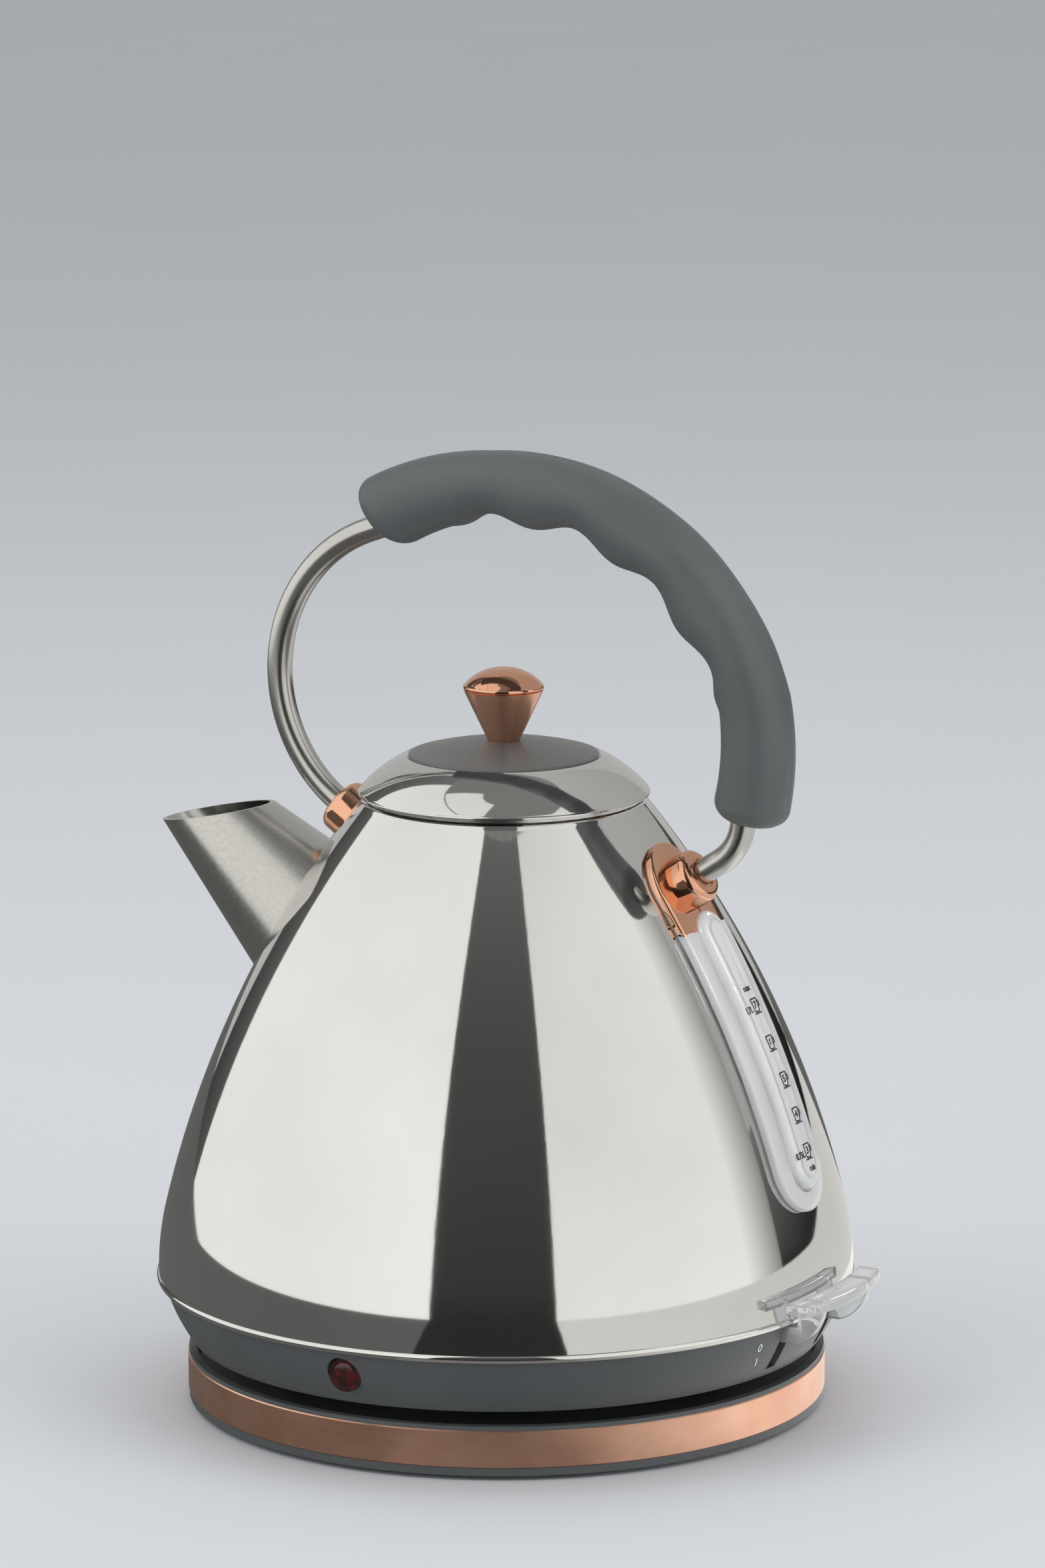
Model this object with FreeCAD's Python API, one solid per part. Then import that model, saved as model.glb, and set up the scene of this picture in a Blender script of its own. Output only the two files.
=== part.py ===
"""Pyramid electric kettle with a cordless power base, in millimetres.

+Z is up, the origin is on the table under the jug's axis, +X points to the water gauge and the switch,
and the spout points to -X. The handle stands in the XZ plane.
"""
import FreeCAD, Part
import math
import os

# Body shell: two tangent arcs in profile
belly_radius = 103.4
belly_height = 40.0
belly_arc = 80.0
belly_turn = 13.5
flank_arc = 316.0
flank_turn = 37.4
wall = 1.0
rim_height = 37.0
bead = 0.6
neck_radius = 43.6
neck_top = 181.5
neck_rounding = 1.2
mouth_inset = 6.6
mouth_depth = 9.0

# Spout cone
spout_height = 141.4
spout_slope = 40.1
spout_taper = 11.3
spout_root = 22.0
spout_overhang = 11.6
spout_mouth_tilt = 11.0
spout_wall = 1.0

# Handle tube, bosses and grip
tube_diameter = 7.5
tube_wall = 1.0
front_height = 170.7
front_stub = 7.2
front_bend = 47.0
crown_slope = 20.0
upright_run = 20.6
rear_height = 159.4
rear_stub = 15.8
rear_bend = 15.6
boss_diameter = 16.5
boss_length = 7.5
boss_rounding = 1.2
rear_boss_length = 9.5
grip_thickness = 20.2
grip_shift = (-3.3, -8.4)
grip_width = 22.4
grip_start = 124.0
grip_end = -9.4
finger_depth = 1.9
finger_pitch = 23.3
finger_first = 96.3
finger_start = 108.0
finger_end = 16.0
finger_ease = 8.0
heel_flare = 0.2
heel_taper = 0.12
crown_flare = 0.12
crown_flare_start = 96.0
grip_fullness = 2.2
grip_rounding = 5.0
grip_sections = 34
grip_end_shares = (0.0, 0.12, 0.45, 1.0)
seal_seat = 2.2

# Water gauge capsule
gauge_width = 26.7
gauge_bottom = 67.0
gauge_split = 148.0
gauge_top = 171.0
gauge_plate = 2.6
bead_width = 14.0
bead_rise = 2.4
bead_margin = 6.0
bead_top = 155.0
slot_width = 9.0
slot_inset_low = 3.0
slot_inset_high = 4.0
gasket_thickness = 0.6
gasket_inset = 0.5

# Collar and jug bottom
collar_top_inset = 1.4
collar_middle_inset = 3.9
collar_foot_inset = 9.3
collar_middle = 30.0
jug_floor = 20.5
collar_wall = 2.5
spigot_height = 4.0
cover_thickness = 2.0
cover_screw_inset = 15.1
cover_screw_reach = 10.0
cover_screw_head = 1.2
plate_height = 56.0
plate_thickness = 1.0
spreader_radius = 70.0
spreader_thickness = 4.0
element_ring = 55.0
element_diameter = 8.0
element_sweep = 300.0
element_start = 120.0
control_radius = 30.0
terminal_half_width = 12.0
terminal_overhang = 8.0
terminal_rise = 4.0
bimetal_inset = 16.0
bimetal_drop = 4.0
bimetal_radius = 10.0
bimetal_dish = 0.8
bimetal_sheet = 0.6
bimetal_post_radius = 5.0
socket_wall = 8.0
socket_top = 30.0
socket_drop = 2.0
lens_diameter = 10.5
lens_height = 30.0
lens_setback = 1.0
lens_proud = 0.4
lens_rounding = 0.6
lamp_length = 12.0
steam_tube_place = (46.0, 30.0)
steam_tube_radius = 3.5
steam_tube_wall = 1.0
steam_tube_flange = 2.0
steam_tube_top = 145.0

# Switch lever
pivot_inset = 25.4
pivot_height = 33.0
pin_radius = 1.5
pin_fit = 0.05
hub_radius = 4.0
fin_offset = 15.0
fin_thickness = 3.0
slit_width = 4.4
slit_bottom = 23.0
lever_overhang = 11.6
paddle_half_width = 26.0
paddle_bottom = 42.0
paddle_thickness = 3.6
paddle_corner = 1.5
paddle_gap = 3.0
paddle_bow = 86.0
nose_setback = 2.5
fin_drop = 1.5
fin_belly = (3.2, 3.8)
fin_overlap = 1.0
bracket_clearance = 3.5
bracket_sheet = 2.0
bracket_foot = 6.0
bracket_ear = 4.0

# Lid
lid_inset = 0.5
seam_gap = 1.1
dome_height = 11.4
disc_radius = 28.5
disc_height = 4.3
knob_base_radius = 4.7
knob_radius = 11.9
cone_height = 15.3
cap_height = 6.4
knob_edge = 1.0
lid_sheet = 1.0
lid_bulge = 1.3
lid_cup_depth = 8.0
lid_flange_inset = 2.0
lid_plug_inset = 2.5
lid_tower_radius = 6.0
disc_ledge = 4.0
disc_seam = 0.4
disc_edge = 0.5
disc_fullness = 0.78
seal_rise = 2.0
seal_height = 3.0
knob_screw_reach = 8.0

# Filter behind the spout
filter_flange = 3.0
filter_sheet = 2.0
filter_neck = 12.0
filter_lip = 3.0
filter_ledge = 1.5
mesh_radius = 16.0
mesh_depth = 8.0
mesh_thickness = 0.5
mesh_hole = 1.3
mesh_pitch = 3.6

# Power base
base_radius = 94.7
band_proud = 0.3
band_thickness = 1.0
band_bottom = 3.8
band_top = 14.9
base_top = 16.2
lip_width = 2.4
lip_slope = 1.0
tray_floor = 13.0
tray_wall = 2.0
foot_height = 1.5
foot_radius = 6.0
foot_inset = 10.7
foot_angle = -19.0
plate_screw_inset = 16.7
plate_screw_angle = 26.0
plate_screw_reach = 6.0
seat_depth = 1.0
support_radius = 62.0
support_width = 2.0
connector_radius = 16.0
connector_top = 27.0
contact_radius = 8.0
contact_pin_radius = 2.0
contact_width = 1.0
contact_step = 1.0
contact_reach = 6.0
contact_washer_width = 4.0
contact_washer_thickness = 0.5
groove = 0.6
contact_depth = 8.0
gland_radius = 5.0
gland_bore = 3.5
gland_length = 10.0
gland_half_width = 6.0
gland_seat = 2.0
clamp_inset = 28.7
clamp_depth = 8.0
clamp_half_width = 10.0
clamp_jaw = 5.0
clamp_thickness = 3.0

# Clearances between pieces
gap = 0.3
fit = 0.1
screw_radius = 1.5
screw_head = 3.0
head_height = 1.8
post_wall = 1.2

# Sizes that follow from the driving dimensions
mouth_radius = neck_radius - mouth_inset
spout_reach = belly_radius + spout_overhang
lever_reach = belly_radius + lever_overhang
pivot = (belly_radius - pivot_inset, pivot_height)
collar_top_radius = belly_radius - collar_top_inset
collar_middle_radius = belly_radius - collar_middle_inset
collar_foot_radius = belly_radius - collar_foot_inset
lid_radius = neck_radius - lid_inset
lid_seam = neck_top + seam_gap
lid_land = lid_seam + dome_height
disc_crown = lid_land + disc_height
knob_shoulder = disc_crown + cone_height
knob_top = knob_shoulder + cap_height
band_radius = base_radius + band_proud
band_inner = band_radius - band_thickness
gland_level = (band_bottom + band_top) / 2
socket_radius = connector_radius + socket_wall
contact_floor = connector_top - contact_depth
collar_spigot = belly_radius - wall - gap
lens_back = collar_middle_radius - collar_wall - lens_setback
slot_low = gauge_bottom + bead_margin + slot_inset_low
slot_high = bead_top - slot_inset_high
bracket_offset = fin_offset + fin_thickness / 2 + bracket_clearance
lid_plug = mouth_radius - lid_plug_inset
lid_floor = neck_top - lid_cup_depth
cover_top = jug_floor + cover_thickness
spreader_bottom = plate_height - spreader_thickness

ORIGIN = FreeCAD.Vector(0, 0, 0)
FRONT = FreeCAD.Vector(0, -1, 0)
X_AXIS = FreeCAD.Vector(1, 0, 0)
Y_AXIS = FreeCAD.Vector(0, 1, 0)
Z_AXIS = FreeCAD.Vector(0, 0, 1)


def flat(x, z, y=0.0):
    return FreeCAD.Vector(x, y, z)


def face(start, *steps, y=0.0):
    """A face in an XZ plane; a step is a point, or (middle, end) of an arc."""
    edges = []
    here = start
    for step in steps + (start,):
        if isinstance(step[0], tuple):
            middle, end = step
            edges.append(Part.Arc(flat(*here, y), flat(*middle, y), flat(*end, y)).toShape())
        else:
            end = step
            if math.dist(here, end) > 1e-6:
                edges.append(Part.LineSegment(flat(*here, y), flat(*end, y)).toShape())
        here = end
    return Part.Face(Part.Wire(edges))


def turned(start, *steps):
    return face(start, *steps).revolve(ORIGIN, Z_AXIS, 360)


def rod(radius, low, high, x=0.0, y=0.0):
    return Part.makeCylinder(radius, high - low, FreeCAD.Vector(x, y, low), Z_AXIS)


def ring(inner, outer, low, high):
    return rod(outer, low, high).cut(rod(inner, low - 1, high + 1))


def cross_rod(radius, half_length, x, z):
    return Part.makeCylinder(radius, 2 * half_length, FreeCAD.Vector(x, -half_length, z), Y_AXIS)


def block(x, y, z):
    return Part.makeBox(x[1] - x[0], y[1] - y[0], z[1] - z[0], FreeCAD.Vector(x[0], y[0], z[0]))


def circle_places(radius, first, count):
    """Points spread evenly round the axis."""
    angles = [first + 360 * step / count for step in range(count)]
    return [(radius * cosine(angle), radius * sine(angle)) for angle in angles]


def sine(angle):
    return math.sin(math.radians(angle))


def cosine(angle):
    return math.cos(math.radians(angle))


# Profile of the body: centres of its two arcs, shared by every piece that follows the shell
belly_center = (belly_radius - belly_arc, belly_height)
flank_center = (
    belly_center[0] - (flank_arc - belly_arc) * cosine(belly_turn),
    belly_center[1] - (flank_arc - belly_arc) * sine(belly_turn),
)


def on_arc(center, radius, angle):
    return (center[0] + radius * cosine(angle), center[1] + radius * sine(angle))


def flank_point(angle, offset=0.0):
    return on_arc(flank_center, flank_arc + offset, angle)


def flank_angle(height):
    return math.degrees(math.asin((height - flank_center[1]) / flank_arc))


def side_steps(offset):
    """The two arcs of the body's side, from the belly up to the shoulder."""
    radius = belly_arc + offset
    lower = (on_arc(belly_center, radius, belly_turn / 2), on_arc(belly_center, radius, belly_turn))
    upper = (flank_point((belly_turn + flank_turn) / 2, offset), flank_point(flank_turn, offset))
    return lower, upper


def body_core(offset):
    """Everything inside the body's side moved outwards by offset."""
    low = rim_height - gap
    lower, upper = side_steps(offset)
    return turned((0, low), (belly_radius + offset, low), (belly_radius + offset, belly_height),
                  lower, upper, (0, upper[1][1]))


def neck_steps(offset):
    """The short upright neck, rolled over to the flat land round the mouth."""
    center = (neck_radius - neck_rounding, neck_top - neck_rounding)
    radius = neck_rounding + offset
    foot = (neck_radius + offset, flank_point(flank_turn)[1] + neck_rounding)
    return foot, (neck_radius + offset, center[1]), (on_arc(center, radius, 45), on_arc(center, radius, 90))


# Spout axis, in the XZ plane, and the cone's apex out beyond its tip
spout_axis = flat(cosine(spout_slope), -sine(spout_slope))
spout_foot = flat(-flank_point(flank_angle(spout_height))[0], spout_height)
spout_length = spout_root / math.tan(math.radians(spout_taper))
spout_apex = spout_foot - spout_axis * spout_length
lower_edge = math.tan(math.radians(spout_slope + spout_taper))
spout_tip = flat(-spout_reach, spout_apex.z + (spout_reach + spout_apex.x) * lower_edge)
mesh_place = spout_foot + spout_axis * mesh_depth


def spout_cone(inset, length):
    """The spout's cone, from its apex; inset moves its side inwards."""
    apex = spout_apex + spout_axis * (inset / sine(spout_taper))
    radius = length * math.tan(math.radians(spout_taper))
    return Part.makeCone(0, radius, length, apex, spout_axis)


def above_mouth():
    """The space over the spout's oblique mouth."""
    span = 4 * spout_root
    box = block((-span, span), (-span, span), (0, 2 * span))
    box.rotate(ORIGIN, Y_AXIS, -spout_mouth_tilt)
    box.translate(spout_tip)
    return box


def spout_hole():
    return spout_cone(spout_wall, spout_length + spout_root)


def body_shell():
    inner = belly_radius - wall
    lower, upper = side_steps(0)
    in_lower, in_upper = side_steps(-wall)
    neck_foot, neck_side, neck_roll = neck_steps(-wall)
    bead_low = (belly_radius - bead, rim_height)
    bead_mid = (belly_radius + bead, rim_height + 2 * bead)
    bead_top_point = (belly_radius, rim_height + 4 * bead)
    throat = mouth_radius + wall
    mouth_low = neck_top - mouth_depth
    shell = turned(
        (inner, rim_height), bead_low, (bead_mid, bead_top_point), (belly_radius, belly_height),
        lower, upper, *neck_steps(0), (mouth_radius, neck_top), (mouth_radius, mouth_low),
        (throat, mouth_low), (throat, neck_top - wall), neck_roll[1],
        (neck_roll[0], neck_side), neck_foot, in_upper[1],
        (in_upper[0], in_lower[1]), (in_lower[0], (inner, belly_height)))
    shell = shell.cut(spout_hole().common(body_core(wall)))
    shell = shell.cut(gauge_prism(slot_width, slot_low, slot_high))
    for foot, direction in handle_feet():
        start = foot - direction * 3 * wall
        shell = shell.cut(Part.makeCylinder(screw_radius + fit, 4 * wall, start, direction))
    return shell


def spout():
    cone = spout_cone(0, spout_length + spout_root)
    cone = cone.cut(spout_cone(spout_wall, 2 * spout_length))
    return cone.cut(above_mouth()).cut(body_core(0))


def gauge_prism(width, low, high, square_top=False):
    """An upright bar with round ends, reaching outwards from inside the rear of the body."""
    radius = width / 2
    length = 2 * belly_radius
    middle_low = low + radius
    middle_high = high if square_top else high - radius
    bar = block((width, width + length), (-radius, radius), (middle_low, middle_high))
    bar = bar.fuse(Part.makeCylinder(radius, length, flat(width, middle_low), X_AXIS))
    if not square_top:
        bar = bar.fuse(Part.makeCylinder(radius, length, flat(width, middle_high), X_AXIS))
    return bar.removeSplitter()


def bead_prism(grow):
    return gauge_prism(bead_width + 2 * grow, gauge_bottom + bead_margin - grow, bead_top + grow)


def skin(low_offset, high_offset):
    return body_core(high_offset).cut(body_core(low_offset))


def gauge_window():
    flange = gauge_prism(gauge_width, gauge_bottom, gauge_split, square_top=True)
    flange = flange.common(skin(gasket_thickness, gauge_plate))
    raised = bead_prism(0).common(skin(gasket_thickness, gauge_plate + bead_rise))
    plug = gauge_prism(slot_width - 2 * fit, slot_low + fit, slot_high - fit)
    plug = plug.common(skin(-wall, gasket_thickness))
    return flange.fuse(raised).fuse(plug).removeSplitter()


def gauge_gasket():
    width = gauge_width - 2 * gasket_inset
    sheet = gauge_prism(width, gauge_bottom + gasket_inset, gauge_top - gasket_inset)
    sheet = sheet.common(skin(0, gasket_thickness))
    sheet = sheet.cut(gauge_prism(slot_width, slot_low, slot_high))
    foot, direction = handle_feet()[1]
    hole = Part.makeCylinder(boss_diameter / 2 + gap, gauge_plate + wall, foot - direction, direction)
    return sheet.cut(hole)


def rear_boss():
    foot, direction = handle_feet()[1]
    plate = gauge_prism(gauge_width, gauge_bottom, gauge_top)
    plate = plate.cut(block((0, 4 * belly_radius), (-gauge_width, gauge_width), (0, gauge_split + fit)))
    plate = plate.common(skin(gasket_thickness, gauge_plate))
    plate = plate.cut(bead_prism(fit))
    boss = boss_barrel(foot, direction, rear_boss_length)
    boss = boss.cut(bead_prism(fit).common(body_core(gauge_plate + bead_rise + fit)))
    return plate.fuse(boss).cut(tube_bore(foot, direction)).removeSplitter()


def boss_barrel(foot, direction, length):
    """A rounded barrel standing on the body's side along its normal."""
    under = boss_rounding * 3
    barrel = Part.makeCylinder(boss_diameter / 2, length + under, foot - direction * under, direction)
    rims = [edge for edge in barrel.Edges if abs((edge.CenterOfMass - foot).dot(direction) - length) < 1e-3]
    return barrel.makeFillet(boss_rounding, rims).cut(body_core(0))


def tube_bore(foot, direction):
    return Part.makeCylinder(tube_diameter / 2 + fit, 4 * boss_length, foot - direction, direction)


def front_boss():
    foot, direction = handle_feet()[0]
    return boss_barrel(foot, direction, boss_length).cut(tube_bore(foot, direction))


def handle_feet():
    """Where the handle stands on the body: a point and the outward normal, front then rear."""
    feet = []
    for side, height in ((-1, front_height), (1, rear_height)):
        angle = flank_angle(height)
        radius, level = flank_point(angle)
        feet.append((flat(side * radius, level), flat(side * cosine(angle), sine(angle))))
    return feet


def handle_points():
    """Hubs and joints of the tube's centre line, from the front foot over the crown to the rear foot."""
    (front, front_way), (rear, rear_way) = handle_feet()
    lift = math.degrees(math.acos(-front_way.x))
    drop = math.degrees(math.asin(rear_way.z))
    points = {"front": front + front_way * wall, "rear": rear + rear_way * wall, "lift": lift, "drop": drop}
    points["rise"] = points["front"] + front_way * front_stub
    points["front_hub"] = points["rise"] + flat(sine(lift), cosine(lift)) * front_bend
    points["crown"] = points["front_hub"] + flat(-sine(crown_slope), cosine(crown_slope)) * front_bend
    points["low_bend"] = points["rear"] + rear_way * rear_stub
    points["low_hub"] = points["low_bend"] + flat(-sine(drop), cosine(drop)) * rear_bend
    points["upright"] = points["low_hub"].x + rear_bend
    crown = points["crown"]
    spread = (points["upright"] - crown.x) / (1 + sine(crown_slope))
    run = points["low_hub"].z + upright_run - crown.z + cosine(crown_slope) * spread
    points["ramp"] = crown + flat(cosine(crown_slope), sine(crown_slope)) * run
    bend = (points["upright"] - points["ramp"].x) / (1 + sine(crown_slope))
    points["crown_bend"] = bend
    points["crown_hub"] = points["ramp"] + flat(sine(crown_slope), -cosine(crown_slope)) * bend
    return points


handle = handle_points()
grip_center = (handle["crown_hub"].x + grip_shift[0], handle["crown_hub"].z + grip_shift[1])
grip_inner = handle["crown_bend"]
grip_radius = grip_inner + grip_thickness


def handle_path():
    """The tube's centre line as straight runs and tangent arcs."""
    front_middle = (180 - handle["lift"] + crown_slope - 90) / 2 + 45
    front_arc = handle["front_hub"] + flat(-sine(front_middle), cosine(front_middle)) * front_bend
    half = (90 - crown_slope) / 2
    crown_arc = handle["crown_hub"] + flat(sine(half), cosine(half)) * handle["crown_bend"]
    bend_half = (handle["drop"] - 90) / 2
    low_arc = handle["low_hub"] + flat(cosine(bend_half), sine(bend_half)) * rear_bend
    top_right = flat(handle["upright"], handle["crown_hub"].z)
    low_right = flat(handle["upright"], handle["low_hub"].z)
    edges = [
        Part.LineSegment(handle["front"], handle["rise"]),
        Part.Arc(handle["rise"], front_arc, handle["crown"]),
        Part.LineSegment(handle["crown"], handle["ramp"]),
        Part.Arc(handle["ramp"], crown_arc, top_right),
        Part.LineSegment(top_right, low_right),
        Part.Arc(low_right, low_arc, handle["low_bend"]),
        Part.LineSegment(handle["low_bend"], handle["rear"]),
    ]
    return Part.Wire([edge.toShape() for edge in edges])


def tube_solid(radius):
    circle = Part.Wire(Part.Circle(handle["front"], handle_feet()[0][1], radius).toShape())
    return handle_path().makePipeShell([circle], True, True)


def handle_tube():
    return tube_solid(tube_diameter / 2).cut(tube_solid(tube_diameter / 2 - tube_wall))


def handle_inserts():
    pieces = []
    for foot, way in handle_feet():
        base = foot + way * wall
        plug = Part.makeCylinder(tube_diameter / 2 - tube_wall, boss_length, base, way)
        pieces.append(plug.cut(Part.makeCylinder(screw_radius, boss_length - wall, base, way)))
    return pieces


def handle_seals():
    pieces = []
    for foot, way in handle_feet():
        seat = foot - way * seal_seat * wall
        washer = Part.makeCylinder(screw_head + wall, wall, seat, way)
        pieces.append(washer.cut(Part.makeCylinder(screw_radius, 3 * wall, seat - way, way)))
    return pieces


def handle_screws():
    pieces = []
    for foot, way in handle_feet():
        seat = foot - way * seal_seat * wall
        under = seat - way * head_height
        head = Part.makeCylinder(screw_head, head_height, under, way)
        pieces.append(head.fuse(Part.makeCylinder(screw_radius, boss_length, seat - way, way)))
    return pieces


def share(value):
    return min(1.0, max(0.0, value))


def grip_section(angle, shrink):
    """One oval across the grip, square to its curve; shrink rounds the ends off."""
    wave = finger_depth * cosine(360 * (angle - finger_first) / finger_pitch)
    fingers = share((finger_start - angle) / finger_ease) * share((angle - finger_end) / finger_ease)
    heel = max(0, finger_end - angle)
    crown = max(0, angle - crown_flare_start)
    inner = grip_inner + fingers * wave - heel * heel_flare + shrink
    outer = grip_radius + crown * crown_flare - heel * heel_taper - shrink
    middle = (inner + outer) / 2
    tall = (outer - inner) / 2
    half = grip_width / 2 - shrink
    points = []
    for step in range(16):
        turn = 2 * math.pi * step / 16
        corner = abs(math.cos(turn)) ** grip_fullness + abs(math.sin(turn)) ** grip_fullness
        bulge = corner ** (-1 / grip_fullness)
        reach = middle + tall * bulge * math.cos(turn)
        x, z = on_arc(grip_center, reach, angle)
        points.append(FreeCAD.Vector(x, half * bulge * math.sin(turn), z))
    points.append(points[0])
    arcs = [Part.Arc(*points[step:step + 3]).toShape() for step in range(0, 16, 2)]
    return Part.Wire(arcs)


def handle_grip():
    per_degree = math.radians(1) * (grip_radius + grip_inner) / 2
    ease = grip_rounding / per_degree
    stations = [(grip_start - ease * part, part) for part in grip_end_shares]
    span = grip_start - grip_end - 2 * ease
    for step in range(1, grip_sections):
        stations.append((grip_start - ease - span * step / grip_sections, 1.0))
    stations += [(grip_end + ease * part, part) for part in reversed(grip_end_shares)]
    sections = []
    for angle, part in stations:
        shrink = grip_rounding * (1 - math.sqrt(1 - (1 - part) ** 2))
        sections.append(grip_section(angle, shrink))
    return Part.makeLoft(sections, True, False).cut(tube_solid(tube_diameter / 2 + fit))


# Pieces of the collar and the jug's bottom
def collar_outline(inset):
    return ((collar_foot_radius - inset, jug_floor),
            ((collar_middle_radius - inset, collar_middle), (collar_top_radius - inset, rim_height)))


def collar():
    low, outside = collar_outline(0)
    inner_low, inside = collar_outline(collar_wall)
    top = rim_height + spigot_height
    spigot_in = collar_spigot - collar_wall
    shell = turned(low, outside, (collar_spigot, rim_height), (collar_spigot, top), (spigot_in, top),
                   (spigot_in, rim_height), inside[1], (inside[0], inner_low))
    for side in (-1, 1):
        y = side * fin_offset
        half = slit_width / 2
        depth = (pivot[0] + hub_radius, lever_reach)
        shell = shell.cut(block(depth, (y - half, y + half), (slit_bottom, rim_height - gap)))
    return shell.cut(Part.makeCylinder(lens_diameter / 2 + fit, belly_radius, flat(0, lens_height), FRONT))


def indicator_lens():
    length = collar_wall + lens_setback + lens_proud
    lens = Part.makeCylinder(lens_diameter / 2, length, flat(0, lens_height, -lens_back), FRONT)
    rims = [edge for edge in lens.Edges if edge.CenterOfMass.y < -lens_back - collar_wall]
    return lens.makeFillet(lens_rounding, rims)


def indicator_lamp():
    return Part.makeCylinder(lens_diameter / 4, lamp_length, flat(0, lens_height, -lens_back), Y_AXIS)


def bottom_cover():
    outer = collar_foot_radius - collar_wall - fit
    cover = ring(socket_radius + gap, outer, jug_floor, cover_top)
    for x, y in screw_places():
        cover = cover.fuse(rod(screw_head + post_wall, cover_top, spreader_bottom, x, y))
        cover = cover.cut(rod(screw_radius, 0, plate_height, x, y))
    return cover


def screw_places():
    return circle_places(collar_foot_radius - cover_screw_inset, 60, 3)


def bottom_screws():
    pieces = []
    for x, y in screw_places():
        shank = rod(screw_radius, jug_floor, plate_height - cover_screw_reach, x, y)
        pieces.append(shank.fuse(rod(screw_head, jug_floor - cover_screw_head, jug_floor, x, y)))
    return pieces


def element_plate():
    height = plate_height + plate_thickness
    core = body_core(-wall - fit).common(rod(belly_radius, plate_height, height))
    return core.cut(rod(steam_tube_radius - steam_tube_wall, 0, steam_tube_top, *steam_tube_place))


def heat_spreader():
    disc = rod(spreader_radius, spreader_bottom, plate_height)
    return disc.cut(rod(steam_tube_radius + steam_tube_wall, 0, 2 * plate_height, *steam_tube_place))


def heating_element():
    level = spreader_bottom - element_diameter / 2
    outline = Part.Circle(flat(element_ring, level), Y_AXIS, element_diameter / 2).toShape()
    coil = Part.Face(Part.Wire(outline)).revolve(ORIGIN, Z_AXIS, element_sweep)
    coil.rotate(ORIGIN, Z_AXIS, element_start)
    return coil


def control_unit():
    body = rod(control_radius, socket_top, spreader_bottom)
    reach = control_radius + terminal_overhang
    width = (-terminal_half_width, terminal_half_width)
    return body.fuse(block(width, (-reach, reach), (socket_top + terminal_rise, spreader_bottom)))


def bimetal_disc():
    x = pivot[0] - bimetal_inset
    level = pivot[1] - bimetal_drop
    rim = bimetal_dish + bimetal_sheet
    disc = turned((0, 0), (bimetal_radius, bimetal_dish), (bimetal_radius, rim), (0, bimetal_sheet))
    disc.translate(flat(x, level))
    return disc.fuse(rod(bimetal_post_radius, cover_top, level + rim / 2, x))


def steam_tube():
    x, y = steam_tube_place
    low = plate_height + plate_thickness
    tube = rod(steam_tube_radius, low, steam_tube_top, x, y)
    tube = tube.fuse(rod(steam_tube_radius + steam_tube_flange, low, low + steam_tube_flange, x, y))
    return tube.cut(rod(steam_tube_radius - steam_tube_wall, 0, 2 * steam_tube_top, x, y))


def switch_bracket():
    x, z = pivot
    outer = bracket_offset + bracket_sheet
    foot = (x - bracket_foot, x + bracket_foot)
    bracket = block(foot, (-outer, outer), (cover_top, cover_top + bracket_sheet))
    for y in ((-outer, -bracket_offset), (bracket_offset, outer)):
        bracket = bracket.fuse(block((x - bracket_ear, x + bracket_ear), y, (cover_top, z + bracket_ear)))
    return bracket.cut(cross_rod(pin_radius, 2 * bracket_offset, x, z))


def switch_pivot():
    return cross_rod(pin_radius, bracket_offset + bracket_sheet, *pivot)


def switch_lever():
    """Two fins on a hub, through the collar's slits, under a crescent thumb paddle."""
    x, z = pivot
    outside = belly_radius + bead + gap
    fin_low = z - fin_drop
    fin_high = rim_height - 2 * gap
    nose = lever_reach - nose_setback
    fin_top = paddle_bottom + fin_overlap
    belly = (nose - fin_belly[0], fin_low + fin_belly[1])
    paddle_top = paddle_bottom + paddle_thickness
    lever = cross_rod(hub_radius, fin_offset + fin_thickness / 2, x, z)
    for side in (-1, 1):
        y = side * fin_offset - fin_thickness / 2
        fin = face((x, fin_low), (outside - fin_overlap, fin_low), (belly, (nose, paddle_bottom)),
                   (nose, fin_top), (outside, fin_top), (outside, fin_high), (x, fin_high), y=y)
        lever = lever.fuse(fin.extrude(Y_AXIS * fin_thickness))
    lever = lever.fuse(thumb_paddle(belly_radius + bead + paddle_gap, paddle_top))
    return lever.cut(cross_rod(pin_radius + pin_fit, 2 * fin_offset, x, z)).removeSplitter()


def thumb_paddle(inner, top):
    """A crescent that follows the body inside and bows outwards, its corners rounded."""
    crescent = rod(paddle_bow, paddle_bottom, top, lever_reach - paddle_bow)
    crescent = crescent.cut(rod(inner, 0, neck_top))
    width = (-paddle_half_width, paddle_half_width)
    crescent = crescent.common(block((0, lever_reach), width, (paddle_bottom, top)))
    upright = [edge for edge in crescent.Edges if abs(edge.tangentAt(edge.FirstParameter).z) > 0.9]
    return crescent.makeFillet(paddle_corner, upright)


# Socket and filter
def jug_socket():
    cup = rod(socket_radius, jug_floor - socket_drop, socket_top)
    return cup.cut(rod(connector_radius + gap, 0, connector_top)).cut(contact_washer())


def contact_washer():
    outer = contact_radius + contact_washer_width
    return ring(contact_radius, outer, connector_top, connector_top + contact_washer_thickness)


def socket_contacts():
    outer = contact_radius + contact_width
    blade = ring(contact_radius, outer, connector_top - contact_reach, connector_top)
    return blade.fuse(contact_washer()).removeSplitter()


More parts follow.
